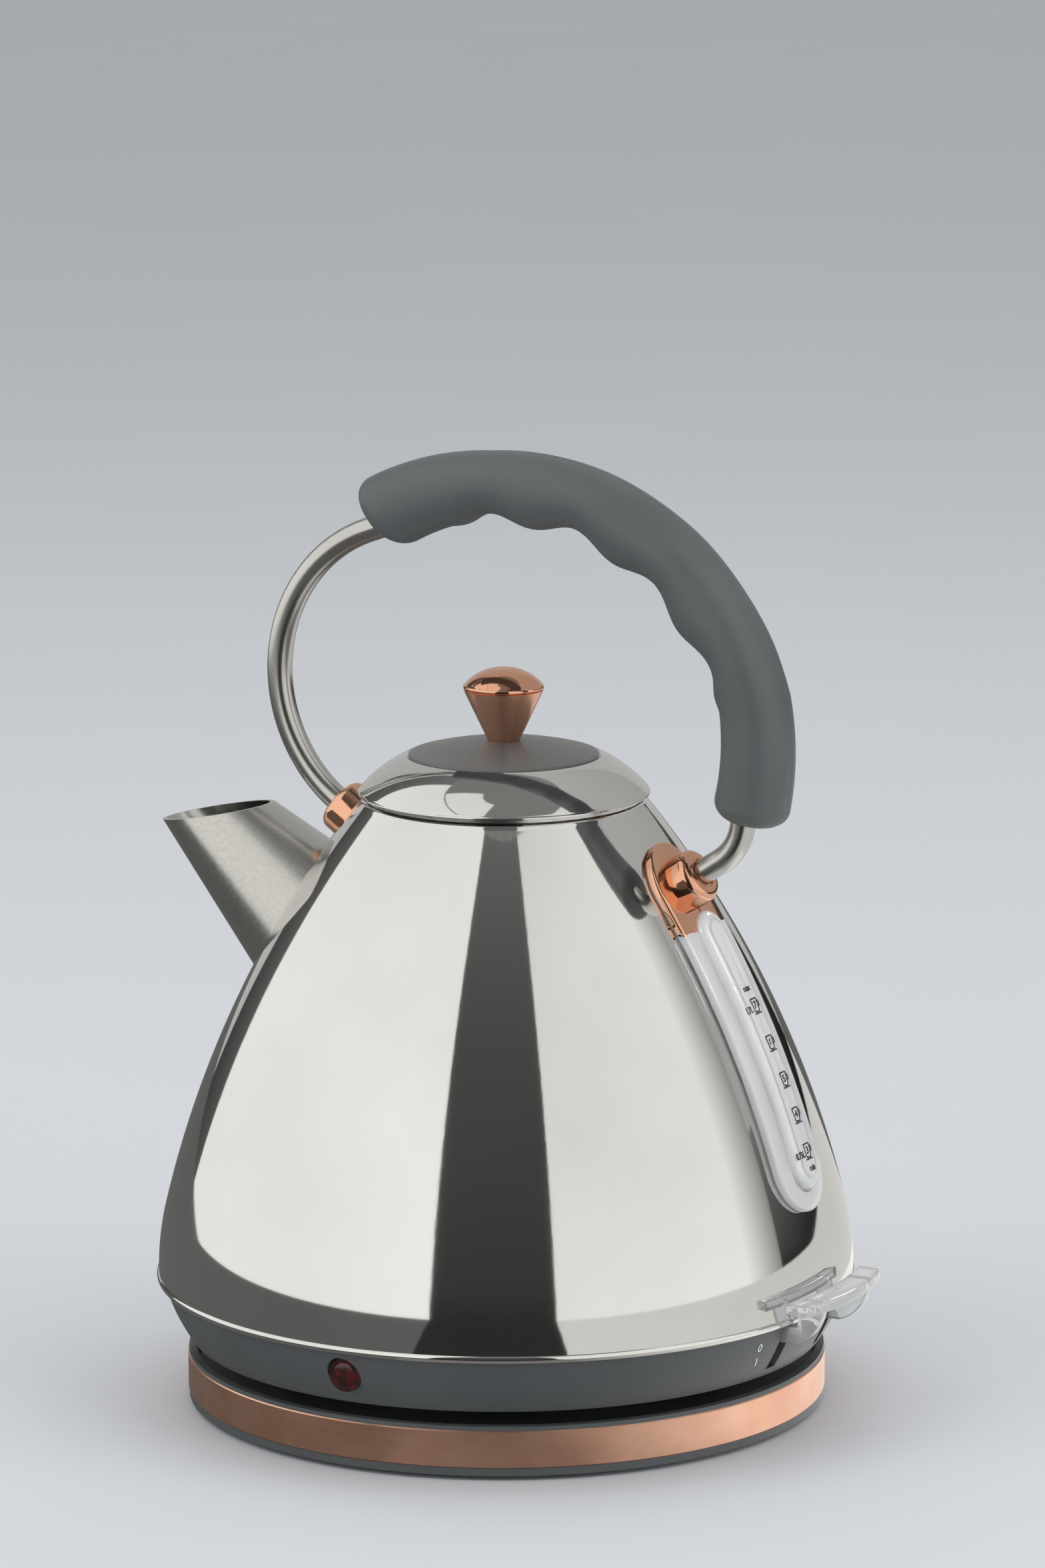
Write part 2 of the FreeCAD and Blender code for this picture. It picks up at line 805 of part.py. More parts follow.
def filter_frame():
    """A flange against the inside of the body, with a short neck that carries the mesh."""
    seat = body_core(-wall - gap)
    flange = spout_cone(spout_wall - filter_flange, 2 * spout_length).common(seat)
    flange = flange.cut(body_core(-wall - gap - filter_sheet)).common(front_half())
    start = mesh_place - spout_axis * filter_neck
    neck = Part.makeCylinder(mesh_radius + filter_ledge, filter_neck + filter_lip, start, spout_axis)
    frame = flange.fuse(neck.common(seat))
    frame = frame.cut(Part.makeCylinder(mesh_radius, spout_length, mesh_place, spout_axis))
    inner = mesh_place - spout_axis * 2 * filter_neck
    return frame.cut(Part.makeCylinder(mesh_radius - filter_ledge, spout_length, inner, spout_axis))


def front_half():
    return block((-2 * belly_radius, 0), (-belly_radius, belly_radius), (plate_height, 2 * belly_radius))


def filter_mesh():
    disc = Part.Circle(ORIGIN, Z_AXIS, mesh_radius - fit / 2)
    wires = [Part.Wire(disc.toShape())]
    rows = int(mesh_radius / mesh_pitch)
    for row in range(-rows, rows + 1):
        for column in range(-rows, rows + 1):
            place = FreeCAD.Vector(mesh_pitch * (column + row / 2), mesh_pitch * row * sine(60), 0)
            if place.Length < mesh_radius - 2 * mesh_hole:
                wires.append(Part.Wire(Part.Circle(place, Z_AXIS, mesh_hole).toShape()))
    sheet = Part.Face(wires, "Part::FaceMakerBullseye").extrude(Z_AXIS * mesh_thickness)
    sheet.Placement = FreeCAD.Placement(mesh_place, FreeCAD.Rotation(Z_AXIS, spout_axis))
    return sheet


# Lid
def lid_dome():
    start = (lid_radius, lid_seam)
    top = (disc_radius - disc_ledge, lid_land)
    middle = ((lid_radius + disc_radius) / 2 + lid_bulge, (lid_seam + lid_land) / 2 + lid_bulge / 2)
    edge = (disc_radius, lid_land)
    inner_middle = (middle[0] - lid_sheet, middle[1] - lid_sheet)
    return turned(start, (middle, edge), top, (top[0], lid_land - lid_sheet),
                  (edge[0], lid_land - lid_sheet), (inner_middle, (lid_radius - lid_sheet, lid_seam)))


def lid_disc():
    rise = (disc_radius / 2, lid_land + disc_height * disc_fullness)
    bore = screw_radius + fit
    edge = disc_radius - disc_seam
    return turned((bore, lid_land), (edge, lid_land), (edge, lid_land + disc_edge),
                  (rise, (knob_base_radius, disc_crown)), (bore, disc_crown))


def lid_knob():
    cone = Part.makeCone(knob_base_radius, knob_radius, cone_height, flat(0, disc_crown), Z_AXIS)
    return cone.cut(rod(screw_radius, 0, disc_crown + knob_screw_reach))


def knob_cap():
    """A button whose top is part of a sphere."""
    edge = knob_shoulder + knob_edge
    height = knob_top - edge
    ball = (knob_radius ** 2 + height ** 2) / (2 * height)
    half = math.asin(knob_radius / ball) / 2
    crown = (ball * math.sin(half), knob_top - ball + ball * math.cos(half))
    corner = (knob_radius, knob_shoulder)
    return turned((0, knob_shoulder), corner, (knob_radius, edge), (crown, (0, knob_top)))


def lid_inner():
    flange = lid_radius - lid_flange_inset
    inner = lid_plug - lid_sheet
    floor = lid_floor + lid_sheet
    cup = turned((0, lid_floor), (lid_plug, lid_floor), (lid_plug, neck_top), (flange, neck_top),
                 (flange, lid_seam), (inner, lid_seam), (inner, floor), (0, floor))
    tower = rod(lid_tower_radius, floor, lid_land)
    return cup.fuse(tower).cut(rod(screw_radius + fit, 0, lid_land)).removeSplitter()


def lid_seal():
    low = lid_floor + seal_rise
    return ring(lid_plug, mouth_radius - gap, low, low + seal_height)


def lid_screw():
    shank = rod(screw_radius, lid_floor, disc_crown + knob_screw_reach)
    return shank.fuse(rod(screw_head, lid_floor - head_height, lid_floor))


# Pieces of the power base
def base_tray():
    outer = band_inner - fit
    inner = outer - tray_wall
    lip = base_radius - lip_width
    support = support_radius + support_width
    underside = tray_floor - tray_wall
    tray = turned(
        (inner, band_bottom), (outer, band_bottom), (outer, band_top), (base_radius, band_top),
        (base_radius, base_top), (lip, base_top), (lip - lip_slope, tray_floor),
        (support, tray_floor), (support, jug_floor), (support_radius, jug_floor),
        (support_radius, tray_floor), (connector_radius, tray_floor), (connector_radius, underside),
        (inner, underside))
    for x, y in plate_screw_places():
        tray = tray.fuse(rod(screw_head + post_wall, band_bottom, tray_floor - seat_depth, x, y))
        tray = tray.cut(rod(screw_radius, 0, band_bottom + plate_screw_reach, x, y))
    return tray.cut(gland_rod(gland_radius, 0, 2 * gland_length))


def gland_rod(radius, proud, length):
    return Part.makeCylinder(radius, length, flat(0, gland_level, band_radius + proud), -Y_AXIS)


def base_band():
    band = ring(band_inner, band_radius, band_bottom, band_top)
    return band.cut(block((-gland_half_width, gland_half_width), (0, 2 * band_radius), (0, base_top)))


def cord_gland():
    half = gland_half_width - fit
    shield = block((-half, half), (band_inner - gland_seat, band_radius), (band_bottom + fit, band_top - fit))
    shield = shield.cut(rod(band_inner, 0, base_top))
    gland = gland_rod(gland_radius - fit, 0, gland_length).fuse(shield)
    gland = gland.common(rod(band_radius, 0, base_top))
    return gland.cut(gland_rod(gland_bore, gland_length, 3 * gland_length))


def cord_clamp():
    """A saddle on the base plate with a jaw on each side of the cord's path."""
    start = base_radius - clamp_inset
    depth = (start, start + clamp_depth)
    half = clamp_half_width
    clamp = block((-half, half), depth, (band_bottom, band_bottom + clamp_thickness))
    for width in ((-half, clamp_jaw - half), (half - clamp_jaw, half)):
        clamp = clamp.fuse(block(width, depth, (band_bottom, band_bottom + 2 * clamp_thickness)))
    return clamp


def foot_places():
    return circle_places(base_radius - foot_inset, foot_angle, 4)


def base_plate():
    plate = rod(base_radius, foot_height, band_bottom)
    for x, y in foot_places():
        plate = plate.cut(rod(foot_radius, 0, foot_height + seat_depth, x, y))
    for x, y in plate_screw_places():
        plate = plate.cut(rod(screw_radius, 0, base_top, x, y))
        plate = plate.cut(rod(screw_head + fit, 0, foot_height + seat_depth, x, y))
    return plate


def base_feet():
    return [rod(foot_radius - fit, 0, foot_height + seat_depth, x, y) for x, y in foot_places()]


def plate_screw_places():
    return circle_places(base_radius - plate_screw_inset, plate_screw_angle, 4)


def base_screws():
    pieces = []
    seat = foot_height + seat_depth
    for x, y in plate_screw_places():
        shank = rod(screw_radius, seat, band_bottom + plate_screw_reach, x, y)
        pieces.append(shank.fuse(rod(screw_head, foot_height, seat, x, y)))
    return pieces


def base_connector():
    tower = rod(connector_radius - fit, band_bottom, connector_top)
    outer = contact_radius + contact_width + groove
    tower = tower.cut(ring(contact_radius - groove, outer, contact_floor, 2 * connector_top))
    return tower.cut(rod(contact_pin_radius + fit, contact_floor, 2 * connector_top))


def contact_pin():
    return rod(contact_pin_radius, contact_floor, connector_top - contact_step)


def contact_rings():
    top = connector_top - 2 * contact_step
    return ring(contact_radius - groove, contact_radius - gap, contact_floor, top)


os.makedirs("parts", exist_ok=True)
NODES = {
    "base_tray": base_tray(), "base_plate": base_plate(), "base_band": base_band(),
    "base_feet": base_feet(), "base_screws": base_screws(), "base_connector": base_connector(),
    "contact_pin": contact_pin(), "contact_rings": contact_rings(), "cord_gland": cord_gland(),
    "cord_clamp": cord_clamp(), "jug_socket": jug_socket(), "socket_contacts": socket_contacts(),
    "body_shell": body_shell(), "spout": spout(), "collar": collar(), "bottom_cover": bottom_cover(),
    "bottom_screws": bottom_screws(), "element_plate": element_plate(), "heat_spreader": heat_spreader(),
    "heating_element": heating_element(), "control_unit": control_unit(), "bimetal_disc": bimetal_disc(),
    "steam_tube": steam_tube(), "switch_bracket": switch_bracket(), "switch_pivot": switch_pivot(),
    "switch_lever": switch_lever(), "indicator_lens": indicator_lens(), "indicator_lamp": indicator_lamp(),
    "gauge_window": gauge_window(), "gauge_gasket": gauge_gasket(), "rear_boss": rear_boss(),
    "front_boss": front_boss(), "handle_tube": handle_tube(), "handle_grip": handle_grip(),
    "handle_inserts": handle_inserts(), "handle_seals": handle_seals(), "handle_screws": handle_screws(),
    "filter_frame": filter_frame(), "filter_mesh": filter_mesh(), "lid_dome": lid_dome(),
    "lid_disc": lid_disc(), "lid_knob": lid_knob(), "knob_cap": knob_cap(), "lid_inner": lid_inner(),
    "lid_seal": lid_seal(), "lid_screw": lid_screw(),
}
for name, shape in NODES.items():
    if isinstance(shape, list):
        shape = Part.makeCompound(shape)
    box = shape.BoundBox
    print(name, len(shape.Solids), shape.isValid(), round(shape.Volume, 1),
          [round(v, 1) for v in (box.XMin, box.XMax, box.YMin, box.YMax, box.ZMin, box.ZMax)])
    shape.exportStep(f"parts/{name}.step")
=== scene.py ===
import bpy
import bmesh
import math
from mathutils import Matrix, Vector

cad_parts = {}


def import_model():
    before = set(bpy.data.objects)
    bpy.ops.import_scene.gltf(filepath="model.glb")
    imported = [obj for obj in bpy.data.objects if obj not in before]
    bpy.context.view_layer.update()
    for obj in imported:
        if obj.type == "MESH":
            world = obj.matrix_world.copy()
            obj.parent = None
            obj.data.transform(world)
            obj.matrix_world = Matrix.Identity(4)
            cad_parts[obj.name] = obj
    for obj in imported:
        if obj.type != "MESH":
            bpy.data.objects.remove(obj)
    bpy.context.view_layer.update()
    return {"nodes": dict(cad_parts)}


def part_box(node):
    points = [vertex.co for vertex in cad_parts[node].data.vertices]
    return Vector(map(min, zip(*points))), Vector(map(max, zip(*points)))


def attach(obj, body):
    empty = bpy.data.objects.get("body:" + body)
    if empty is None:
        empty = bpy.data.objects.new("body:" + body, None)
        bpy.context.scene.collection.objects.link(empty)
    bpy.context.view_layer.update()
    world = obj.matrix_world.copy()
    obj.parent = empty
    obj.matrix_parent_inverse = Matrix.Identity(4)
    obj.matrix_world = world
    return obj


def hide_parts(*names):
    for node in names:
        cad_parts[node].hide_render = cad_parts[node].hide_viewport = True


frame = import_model()
nodes = frame["nodes"]

# The kettle's sizes are in millimetres, and MM turns them into metres.
# The camera, lights and cards are placed in metres.
MM = 0.001

# Mesh settings: weld distance in metres, radius of a point on a lathe's axis, sharp edges in degrees
WELD, NEAR_AXIS, SHARP_ANGLE = 1e-7, 0.0005, 35.0

# Body profile: a belly arc and a flank arc, tangent to each other
BELLY_RADIUS, BELLY_HEIGHT, BELLY_ARC, BELLY_TURN = 103.4, 40.0, 80.0, 13.5
FLANK_ARC, FLANK_TURN = 316.0, 37.4
WALL = 1.0
RIM_HEIGHT, BEAD = 37.0, 0.59
NECK_TOP, NECK_ROUNDING, NECK_LIP = 181.5, 1.2, 2.0
MOUTH_RADIUS, MOUTH_DEPTH = 37.0, 9.0

# Spout cone
SPOUT_HEIGHT, SPOUT_SLOPE, SPOUT_TAPER, SPOUT_ROOT = 141.4, 40.1, 11.3, 22.0
SPOUT_REACH, SPOUT_TILT, SPOUT_WALL = 114.99, 11.0, 1.0

# Handle
TUBE_RADIUS = 3.75
FRONT_HEIGHT, FRONT_STUB, FRONT_BEND = 170.7, 7.2, 47.0
CROWN_SLOPE, UPRIGHT_RUN = 20.0, 20.6
REAR_HEIGHT, REAR_STUB, REAR_BEND = 159.4, 15.8, 15.6
BOSS_RADIUS, BOSS_LENGTH, REAR_BOSS_LENGTH = 8.25, 7.5, 9.5
GRIP_CENTER, GRIP_RADIUS, GRIP_INNER, GRIP_WIDTH = (4.92, 193.88), 90.35, 70.15, 22.4
GRIP_START, GRIP_END, GRIP_FULLNESS = 124.0, -9.4, 2.2
FINGER_DEPTH, FINGER_PITCH, FINGER_FIRST = 1.9, 23.3, 96.3
FINGERS_START, FINGERS_END, FINGERS_EASE = 108, 16, 8
CROWN_START, CROWN_SWELL, HEEL_SWELL, HEEL_TAPER = 96, 0.12, 0.2, 0.12
SEAM_DEPTH, SEAM_TURN = 0.22, 0.03
BORE_FIT = 0.05

# Water gauge
GAUGE_WIDTH, GAUGE_BOTTOM, GAUGE_SPLIT, GAUGE_TOP = 26.7, 67.0, 148.0, 171.0
GAUGE_PLATE, BEAD_WIDTH, BEAD_RISE, BEAD_MARGIN, BEAD_TOP = 2.6, 14.0, 2.4, 6.0, 151.5
SLOT_WIDTH, SLOT_LOW, SLOT_HIGH = 9.0, 76.0, 151.0
GASKET, PLATE_ROUNDING, BEAD_ROUNDING, BEAD_FIT = 0.6, 0.9, 2.2, 0.1

# Cutters through the rear of the body run between these two X places
CUTTER_SPAN = (20.0, 160.0)

# Printed ink: half its thickness, its lift off the surface, half a line's width, and the fattening of letters
INK_HALF, INK_LIFT, INK_LINE, INK_BOLD = 0.04, 0.05, 0.2, 0.07
NUMBER_SIZE, NUMBER_SIDE, WORD_SIZE, WORD_WIDTH, MARK_SIZE = 3.0, 0.9, 2.7, 0.85, 3.6

# Lid and knob
LID_RADIUS, LID_SEAM, LID_LAND, LID_BULGE = 43.1, 182.6, 194.0, 1.3
DISC_RADIUS, DISC_CROWN = 28.5, 198.3
KNOB_BASE, KNOB_RADIUS, KNOB_SHOULDER, KNOB_TOP = 4.7, 11.9, 213.6, 220.0

# Switch lever
PIVOT = (78.0, 33.0)
FIN_OFFSET, FIN_THICKNESS = 15.0, 3.0
LEVER_REACH, PADDLE_HALF, PADDLE_BOTTOM, PADDLE_THICK = 114.99, 26.0, 42.0, 3.6
PADDLE_BOW, PADDLE_GAP, FIN_DROP, NOSE_SETBACK = 86.0, 3.0, 1.5, 2.5
FIN_CLEAR, FIN_ROOM, FIN_EDGE, PADDLE_EDGE, HUB_RADIUS = 0.3, 0.6, 0.5, 1.1, 4.0

# Lean of the collar's side at the switch marks
COLLAR_LEAN = 19.63

# Base band
BAND_RADIUS, BAND_INNER, BAND_LOW, BAND_HIGH, BAND_GAP = 95.0, 94.0, 3.8, 14.9, 6.0

# Camera: the photograph's viewing angle, fitted to the round edges
CAMERA_AZIMUTH, CAMERA_SWING, CAMERA_PITCH, CAMERA_ROLL = 28.0, 0.15, 11.14, 0.23
CAMERA_PLACE = (1.000, -1.881, 0.6045)
CAMERA_LENS, SENSOR = 169.4, 36.0

# Bearings, in degrees round the object, where the cards that the mirror finish shows meet
REAR_END, LEFT_START, DARK_START, DARK_END = -150, -134, -24, 15.5
FADE_START, FADE_END, REAR_START, NEAR_TURN = 84, 100, 154, 60
CARD_DISTANCE, CARD_SPLIT, CARD_TOP = 1.6, 0.40, 3.3
NEAR_LEVEL, NEAR_REACH = 0.001, 0.22
GLINT_DISTANCE, GLINT_SIZE, GLINT_POWER = 1.5, 0.3, 5.0


def sine(angle):
    return math.sin(math.radians(angle))


def cosine(angle):
    return math.cos(math.radians(angle))


def on_arc(center, radius, angle):
    return (center[0] + radius * cosine(angle), center[1] + radius * sine(angle))


def arc(center, radius, start, end, count):
    return [on_arc(center, radius, start + (end - start) * k / count) for k in range(count + 1)]


def arc_through(start, middle, end, count):
    """Points of the arc from start through middle to end, in a plane."""
    (ax, ay), (bx, by), (cx, cy) = start, middle, end
    d = 2 * (ax * (by - cy) + bx * (cy - ay) + cx * (ay - by))
    a, b, c = ax * ax + ay * ay, bx * bx + by * by, cx * cx + cy * cy
    center = ((a * (by - cy) + b * (cy - ay) + c * (ay - by)) / d,
              (a * (cx - bx) + b * (ax - cx) + c * (bx - ax)) / d)
    radius = math.dist(center, start)
    angles = [math.degrees(math.atan2(y - center[1], x - center[0])) for x, y in (start, middle, end)]
    for k in (1, 2):
        angles[k] -= 360 * round((angles[k] - angles[k - 1]) / 360)
    return arc(center, radius, angles[0], angles[2], count)


BELLY_CENTER = (BELLY_RADIUS - BELLY_ARC, BELLY_HEIGHT)
FLANK_CENTER = (BELLY_CENTER[0] - (FLANK_ARC - BELLY_ARC) * cosine(BELLY_TURN),
                BELLY_CENTER[1] - (FLANK_ARC - BELLY_ARC) * sine(BELLY_TURN))


def flank_angle(height):
    return math.degrees(math.asin((height - FLANK_CENTER[1]) / FLANK_ARC))


def flank_point(angle, offset=0.0):
    return on_arc(FLANK_CENTER, FLANK_ARC + offset, angle)


def body_radius(height, offset=0.0):
    """Radius of the body's side, moved outwards by offset, at a height on the flank."""
    reach = FLANK_ARC + offset
    return FLANK_CENTER[0] + math.sqrt(reach ** 2 - (height - FLANK_CENTER[1]) ** 2)


def on_body(y, height, proud):
    """A point over the rear of the body: y across, height up the flank, proud of the surface."""
    radius, level = flank_point(flank_angle(height), proud)
    return Vector((math.sqrt(radius ** 2 - y ** 2), y, level))


# Mesh helpers
def new_object(name, vertices, faces, smooth_angle=SHARP_ANGLE):
    mesh = bpy.data.meshes.new(name)
    mesh.from_pydata([Vector(v) * MM for v in vertices], [], faces)
    mesh.validate()
    fixer = bmesh.new()
    fixer.from_mesh(mesh)
    bmesh.ops.remove_doubles(fixer, verts=fixer.verts, dist=WELD)
    bmesh.ops.recalc_face_normals(fixer, faces=fixer.faces)
    fixer.to_mesh(mesh)
    fixer.free()
    mesh.shade_smooth()
    mesh.set_sharp_from_angle(angle=math.radians(smooth_angle))
    obj = bpy.data.objects.new(name, mesh)
    bpy.context.scene.collection.objects.link(obj)
    return obj


def rings_mesh(rings, closed_loop=False):
    """Vertices and quads joining rings of equal length; open ends are capped."""
    count = len(rings[0])
    vertices = [point for ring in rings for point in ring]
    faces = []
    last = len(rings) if closed_loop else len(rings) - 1
    for r in range(last):
        a, b = r * count, (r + 1) % len(rings) * count
        for k in range(count):
            n = (k + 1) % count
            faces.append((a + k, a + n, b + n, b + k))
    if not closed_loop:
        faces.append(tuple(range(count))[::-1])
        top = (len(rings) - 1) * count
        faces.append(tuple(top + k for k in range(count)))
    return vertices, faces


def lathe(name, profile, segments=256, closed_loop=False):
    """Turns an (r, z) profile about the Z axis."""
    rings = []
    for radius, level in profile:
        radius = max(radius, NEAR_AXIS)
        rings.append([(radius * math.cos(2 * math.pi * k / segments),
                       radius * math.sin(2 * math.pi * k / segments), level) for k in range(segments)])
    return new_object(name, *rings_mesh(rings, closed_loop))


def along_axis(name, profile, foot, way, segments=96):
    """Turns a (distance, radius) profile about an axis in the XZ plane, with its ends on the body's side."""
    way = Vector(way).normalized()
    side = Vector((0, 1, 0))
    up = way.cross(side)
    rings = []
    for step, (distance, radius) in enumerate(profile):
        ring = []
        for k in range(segments):
            turn = 2 * math.pi * k / segments
            spoke = Vector(foot) + side * radius * math.cos(turn) + up * radius * math.sin(turn)
            at_end = step in (0, len(profile) - 1)
            ring.append(spoke + way * (side_distance(spoke, way, -15.0, 15.0) if at_end else distance))
        rings.append(ring)
    return new_object(name, *rings_mesh(rings, closed_loop=True))


def side_distance(start, way, low, high):
    """How far along way from start the body's side lies, searched between low and high."""
    def outside(reach):
        place = start + way * reach
        return math.hypot(place.x, place.y) > body_radius(min(place.z, NECK_TOP))

    starts_outside = outside(low)
    for _ in range(50):
        middle = (low + high) / 2
        low, high = (middle, high) if outside(middle) == starts_outside else (low, middle)
    return low


def evaluated(obj):
    """Applies obj's modifiers."""
    graph = bpy.context.evaluated_depsgraph_get()
    mesh = bpy.data.meshes.new_from_object(obj.evaluated_get(graph), depsgraph=graph)
    old = obj.data
    obj.modifiers.clear()
    obj.data = mesh
    bpy.data.meshes.remove(old)
    return obj


def add_boolean(obj, operation, other):
    change = obj.modifiers.new(operation.lower(), "BOOLEAN")
    change.operation, change.solver, change.object = operation, "EXACT", other


def cut(obj, *cutters):
    """Takes the cutters out of obj."""
    for cutter in cutters:
        add_boolean(obj, "DIFFERENCE", cutter)
    evaluated(obj)
    for cutter in cutters:
        bpy.data.objects.remove(cutter)
    obj.data.set_sharp_from_angle(angle=math.radians(SHARP_ANGLE))
    return obj


def bevelled(obj, width, segments=3, angle=40.0):
    bevel = obj.modifiers.new("bevel", "BEVEL")
    bevel.width = width * MM
    bevel.segments = segments
    bevel.limit_method = "ANGLE"
    bevel.angle_limit = math.radians(angle)
    bevel.harden_normals = True
    return evaluated(obj)


def joined(name, obj, *others):
    """One closed piece made of several that meet."""
    for other in others:
        add_boolean(obj, "UNION", other)
        evaluated(obj)
        bpy.data.objects.remove(other)
    obj.name = name
    obj.data.set_sharp_from_angle(angle=math.radians(38))
    return obj


def dress(obj, material, body, slot, *replaced):
    obj.data.materials.clear()
    obj.data.materials.append(material)
    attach(obj, body)
    if replaced:
        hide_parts(*replaced)
    return obj


# Materials
class Paint:
    """A Principled material with helpers for its procedural detail."""

    def __init__(self, name, **sockets):
        self.material = bpy.data.materials.new(name)
        self.material.use_nodes = True
        self.tree = self.material.node_tree
        self.shader = self.tree.nodes["Principled BSDF"]
        for socket, value in sockets.items():
            self.shader.inputs[socket.replace("_", " ")].default_value = value

    def node(self, kind, inputs=(), **settings):
        made = self.tree.nodes.new("ShaderNode" + kind)
        for key, value in settings.items():
            setattr(made, key, value)
        for socket, value in dict(inputs).items():
            if isinstance(value, bpy.types.NodeSocket):
                self.tree.links.new(value, made.inputs[socket])
            else:
                made.inputs[socket].default_value = value
        return made

    def place(self, stretch=(1, 1, 1)):
        coordinates = self.node("TexCoord").outputs["Object"]
        return self.node("Mapping", {"Vector": coordinates, "Scale": stretch}).outputs["Vector"]

    def noise(self, scale, detail=4.0, stretch=(1, 1, 1)):
        inputs = {"Vector": self.place(stretch), "Scale": scale, "Detail": detail}
        return self.node("TexNoise", inputs).outputs["Fac"]

    def ramp(self, fac, low, high, start=0.3, end=0.7):
        ramp = self.node("ValToRGB", {"Fac": fac})
        ramp.color_ramp.elements[0].position, ramp.color_ramp.elements[1].position = start, end
        ramp.color_ramp.elements[0].color, ramp.color_ramp.elements[1].color = low, high
        return ramp.outputs["Color"]

    def spread(self, fac, low, high):
        return self.node("MapRange", {"Value": fac, "To Min": low, "To Max": high}).outputs["Result"]

    def drive(self, socket, value):
        self.tree.links.new(value, self.shader.inputs[socket])
        return self

    def bump(self, height, strength, distance):
        bump = self.node("Bump", {"Height": height, "Strength": strength, "Distance": distance})
        return self.drive("Normal", bump.outputs["Normal"])


def rgb(r, g, b):
    return (r, g, b, 1.0)


def polished_steel():
    paint = Paint("polished_steel", Metallic=1.0)
    cloud = paint.noise(14.0)
    hair = paint.noise(900.0, 2.0, (1.0, 1.0, 0.012))
    paint.drive("Base Color", paint.ramp(cloud, rgb(0.70, 0.69, 0.67), rgb(0.79, 0.78, 0.76)))
    paint.drive("Roughness", paint.spread(cloud, 0.035, 0.075))
    return paint.bump(hair, 0.012, 0.0002).material


def satin_steel(name, along, shade=1.0, scale=500.0):
    paint = Paint(name, Metallic=1.0)
    grain = paint.noise(scale, 2.0, along)
    low, high = [c * shade for c in (0.62, 0.61, 0.58)], [c * shade for c in (0.70, 0.69, 0.66)]
    paint.drive("Base Color", paint.ramp(grain, rgb(*low), rgb(*high)))
    paint.drive("Roughness", paint.spread(grain, 0.20, 0.27))
    return paint.bump(grain, 0.015, 0.0001).material


def polished_copper():
    paint = Paint("polished_copper", Metallic=1.0)
    cloud = paint.noise(60.0)
    paint.drive("Base Color", paint.ramp(cloud, rgb(0.80, 0.41, 0.26), rgb(0.88, 0.50, 0.34)))
    paint.drive("Roughness", paint.spread(cloud, 0.05, 0.11))
    return paint.bump(paint.noise(420.0), 0.02, 0.0002).material


def satin_copper(name, mottle, low, high, grain_depth, smear=0.09):
    paint = Paint(name, Metallic=1.0)
    cloud = paint.noise(mottle, 6.0, (1, 1, 1.6))
    grain = paint.noise(900.0, 2.0, (0.05, 0.05, 1.0))
    paint.drive("Base Color", paint.ramp(cloud, rgb(*low), rgb(*high), 0.35, 0.65))
    paint.drive("Roughness", paint.spread(grain, 0.285 - smear / 2, 0.285 + smear / 2))
    return paint.bump(grain, grain_depth, 0.0001).material


def moulded_plastic(name, low, high, rough, grain_scale=1500.0, strength=0.12):
    paint = Paint(name, Specular_IOR_Level=0.5)
    cloud = paint.noise(35.0)
    grain = paint.noise(grain_scale, 3.0)
    paint.drive("Base Color", paint.ramp(cloud, rgb(*low), rgb(*high)))
    paint.drive("Roughness", paint.spread(cloud, rough - 0.04, rough + 0.05))
    return paint.bump(grain, strength, 0.0002).material


def clear_plastic(name, through, smear, pebble):
    """Clear moulding: through is the share of light that passes straight on."""
    paint = Paint(name, IOR=1.49, Transmission_Weight=through)
    cloud = paint.noise(50.0)
    cells = paint.node("TexVoronoi", {"Vector": paint.place(), "Scale": 900.0}).outputs["Distance"]
    paint.drive("Base Color", paint.ramp(cloud, rgb(0.93, 0.94, 0.94), rgb(0.985, 0.99, 0.99)))
    paint.drive("Roughness", paint.spread(cloud, 0.0, smear))
    return paint.bump(cells, pebble, 0.0002).material


def red_plastic():
    paint = Paint("red_plastic", Coat_Weight=0.3)
    rings = paint.node("TexVoronoi", {"Vector": paint.place(), "Scale": 420.0}).outputs["Distance"]
    paint.drive("Base Color", paint.ramp(rings, rgb(0.085, 0.006, 0.007), rgb(0.025, 0.004, 0.005)))
    paint.drive("Roughness", paint.spread(rings, 0.18, 0.3))
    return paint.bump(rings, 0.25, 0.0004).material


def printed_ink(name, low, high):
    paint = Paint(name)
    speck = paint.noise(2500.0, 2.0)
    paint.drive("Base Color", paint.ramp(speck, rgb(*low), rgb(*high)))
    paint.drive("Roughness", paint.spread(speck, 0.4, 0.6))
    return paint.material


steel = polished_steel()
spout_steel = satin_steel("spout_steel", (0.3, 1.0, 0.3), 0.87, 2400.0)
tube_steel = satin_steel("tube_steel", (0.05, 1.0, 0.05), 0.9)
bolt_steel = satin_steel("bolt_steel", (1.0, 1.0, 1.0))
copper = polished_copper()
band_copper = satin_copper("band_copper", 55.0, (0.85, 0.47, 0.33), (0.94, 0.56, 0.41), 0.01)
knob_copper = satin_copper("knob_copper", 40.0, (0.90, 0.50, 0.34), (0.95, 0.55, 0.38), 0.0, 0.02)
grip_grey = moulded_plastic("grip_grey", (0.093, 0.102, 0.104), (0.104, 0.114, 0.116), 0.44)
collar_grey = moulded_plastic("collar_grey", (0.082, 0.090, 0.092), (0.094, 0.102, 0.104), 0.36)
disc_grey = moulded_plastic("disc_grey", (0.118, 0.121, 0.119), (0.138, 0.141, 0.139), 0.36)
black_plastic = moulded_plastic("black_plastic", (0.02, 0.02, 0.022), (0.035, 0.035, 0.037), 0.5)
white_plastic = moulded_plastic("white_plastic", (0.6, 0.6, 0.58), (0.72, 0.72, 0.70), 0.45)
rubber = moulded_plastic("rubber", (0.045, 0.045, 0.048), (0.07, 0.07, 0.073), 0.75)
clear = clear_plastic("clear", 0.76, 0.03, 0.02)
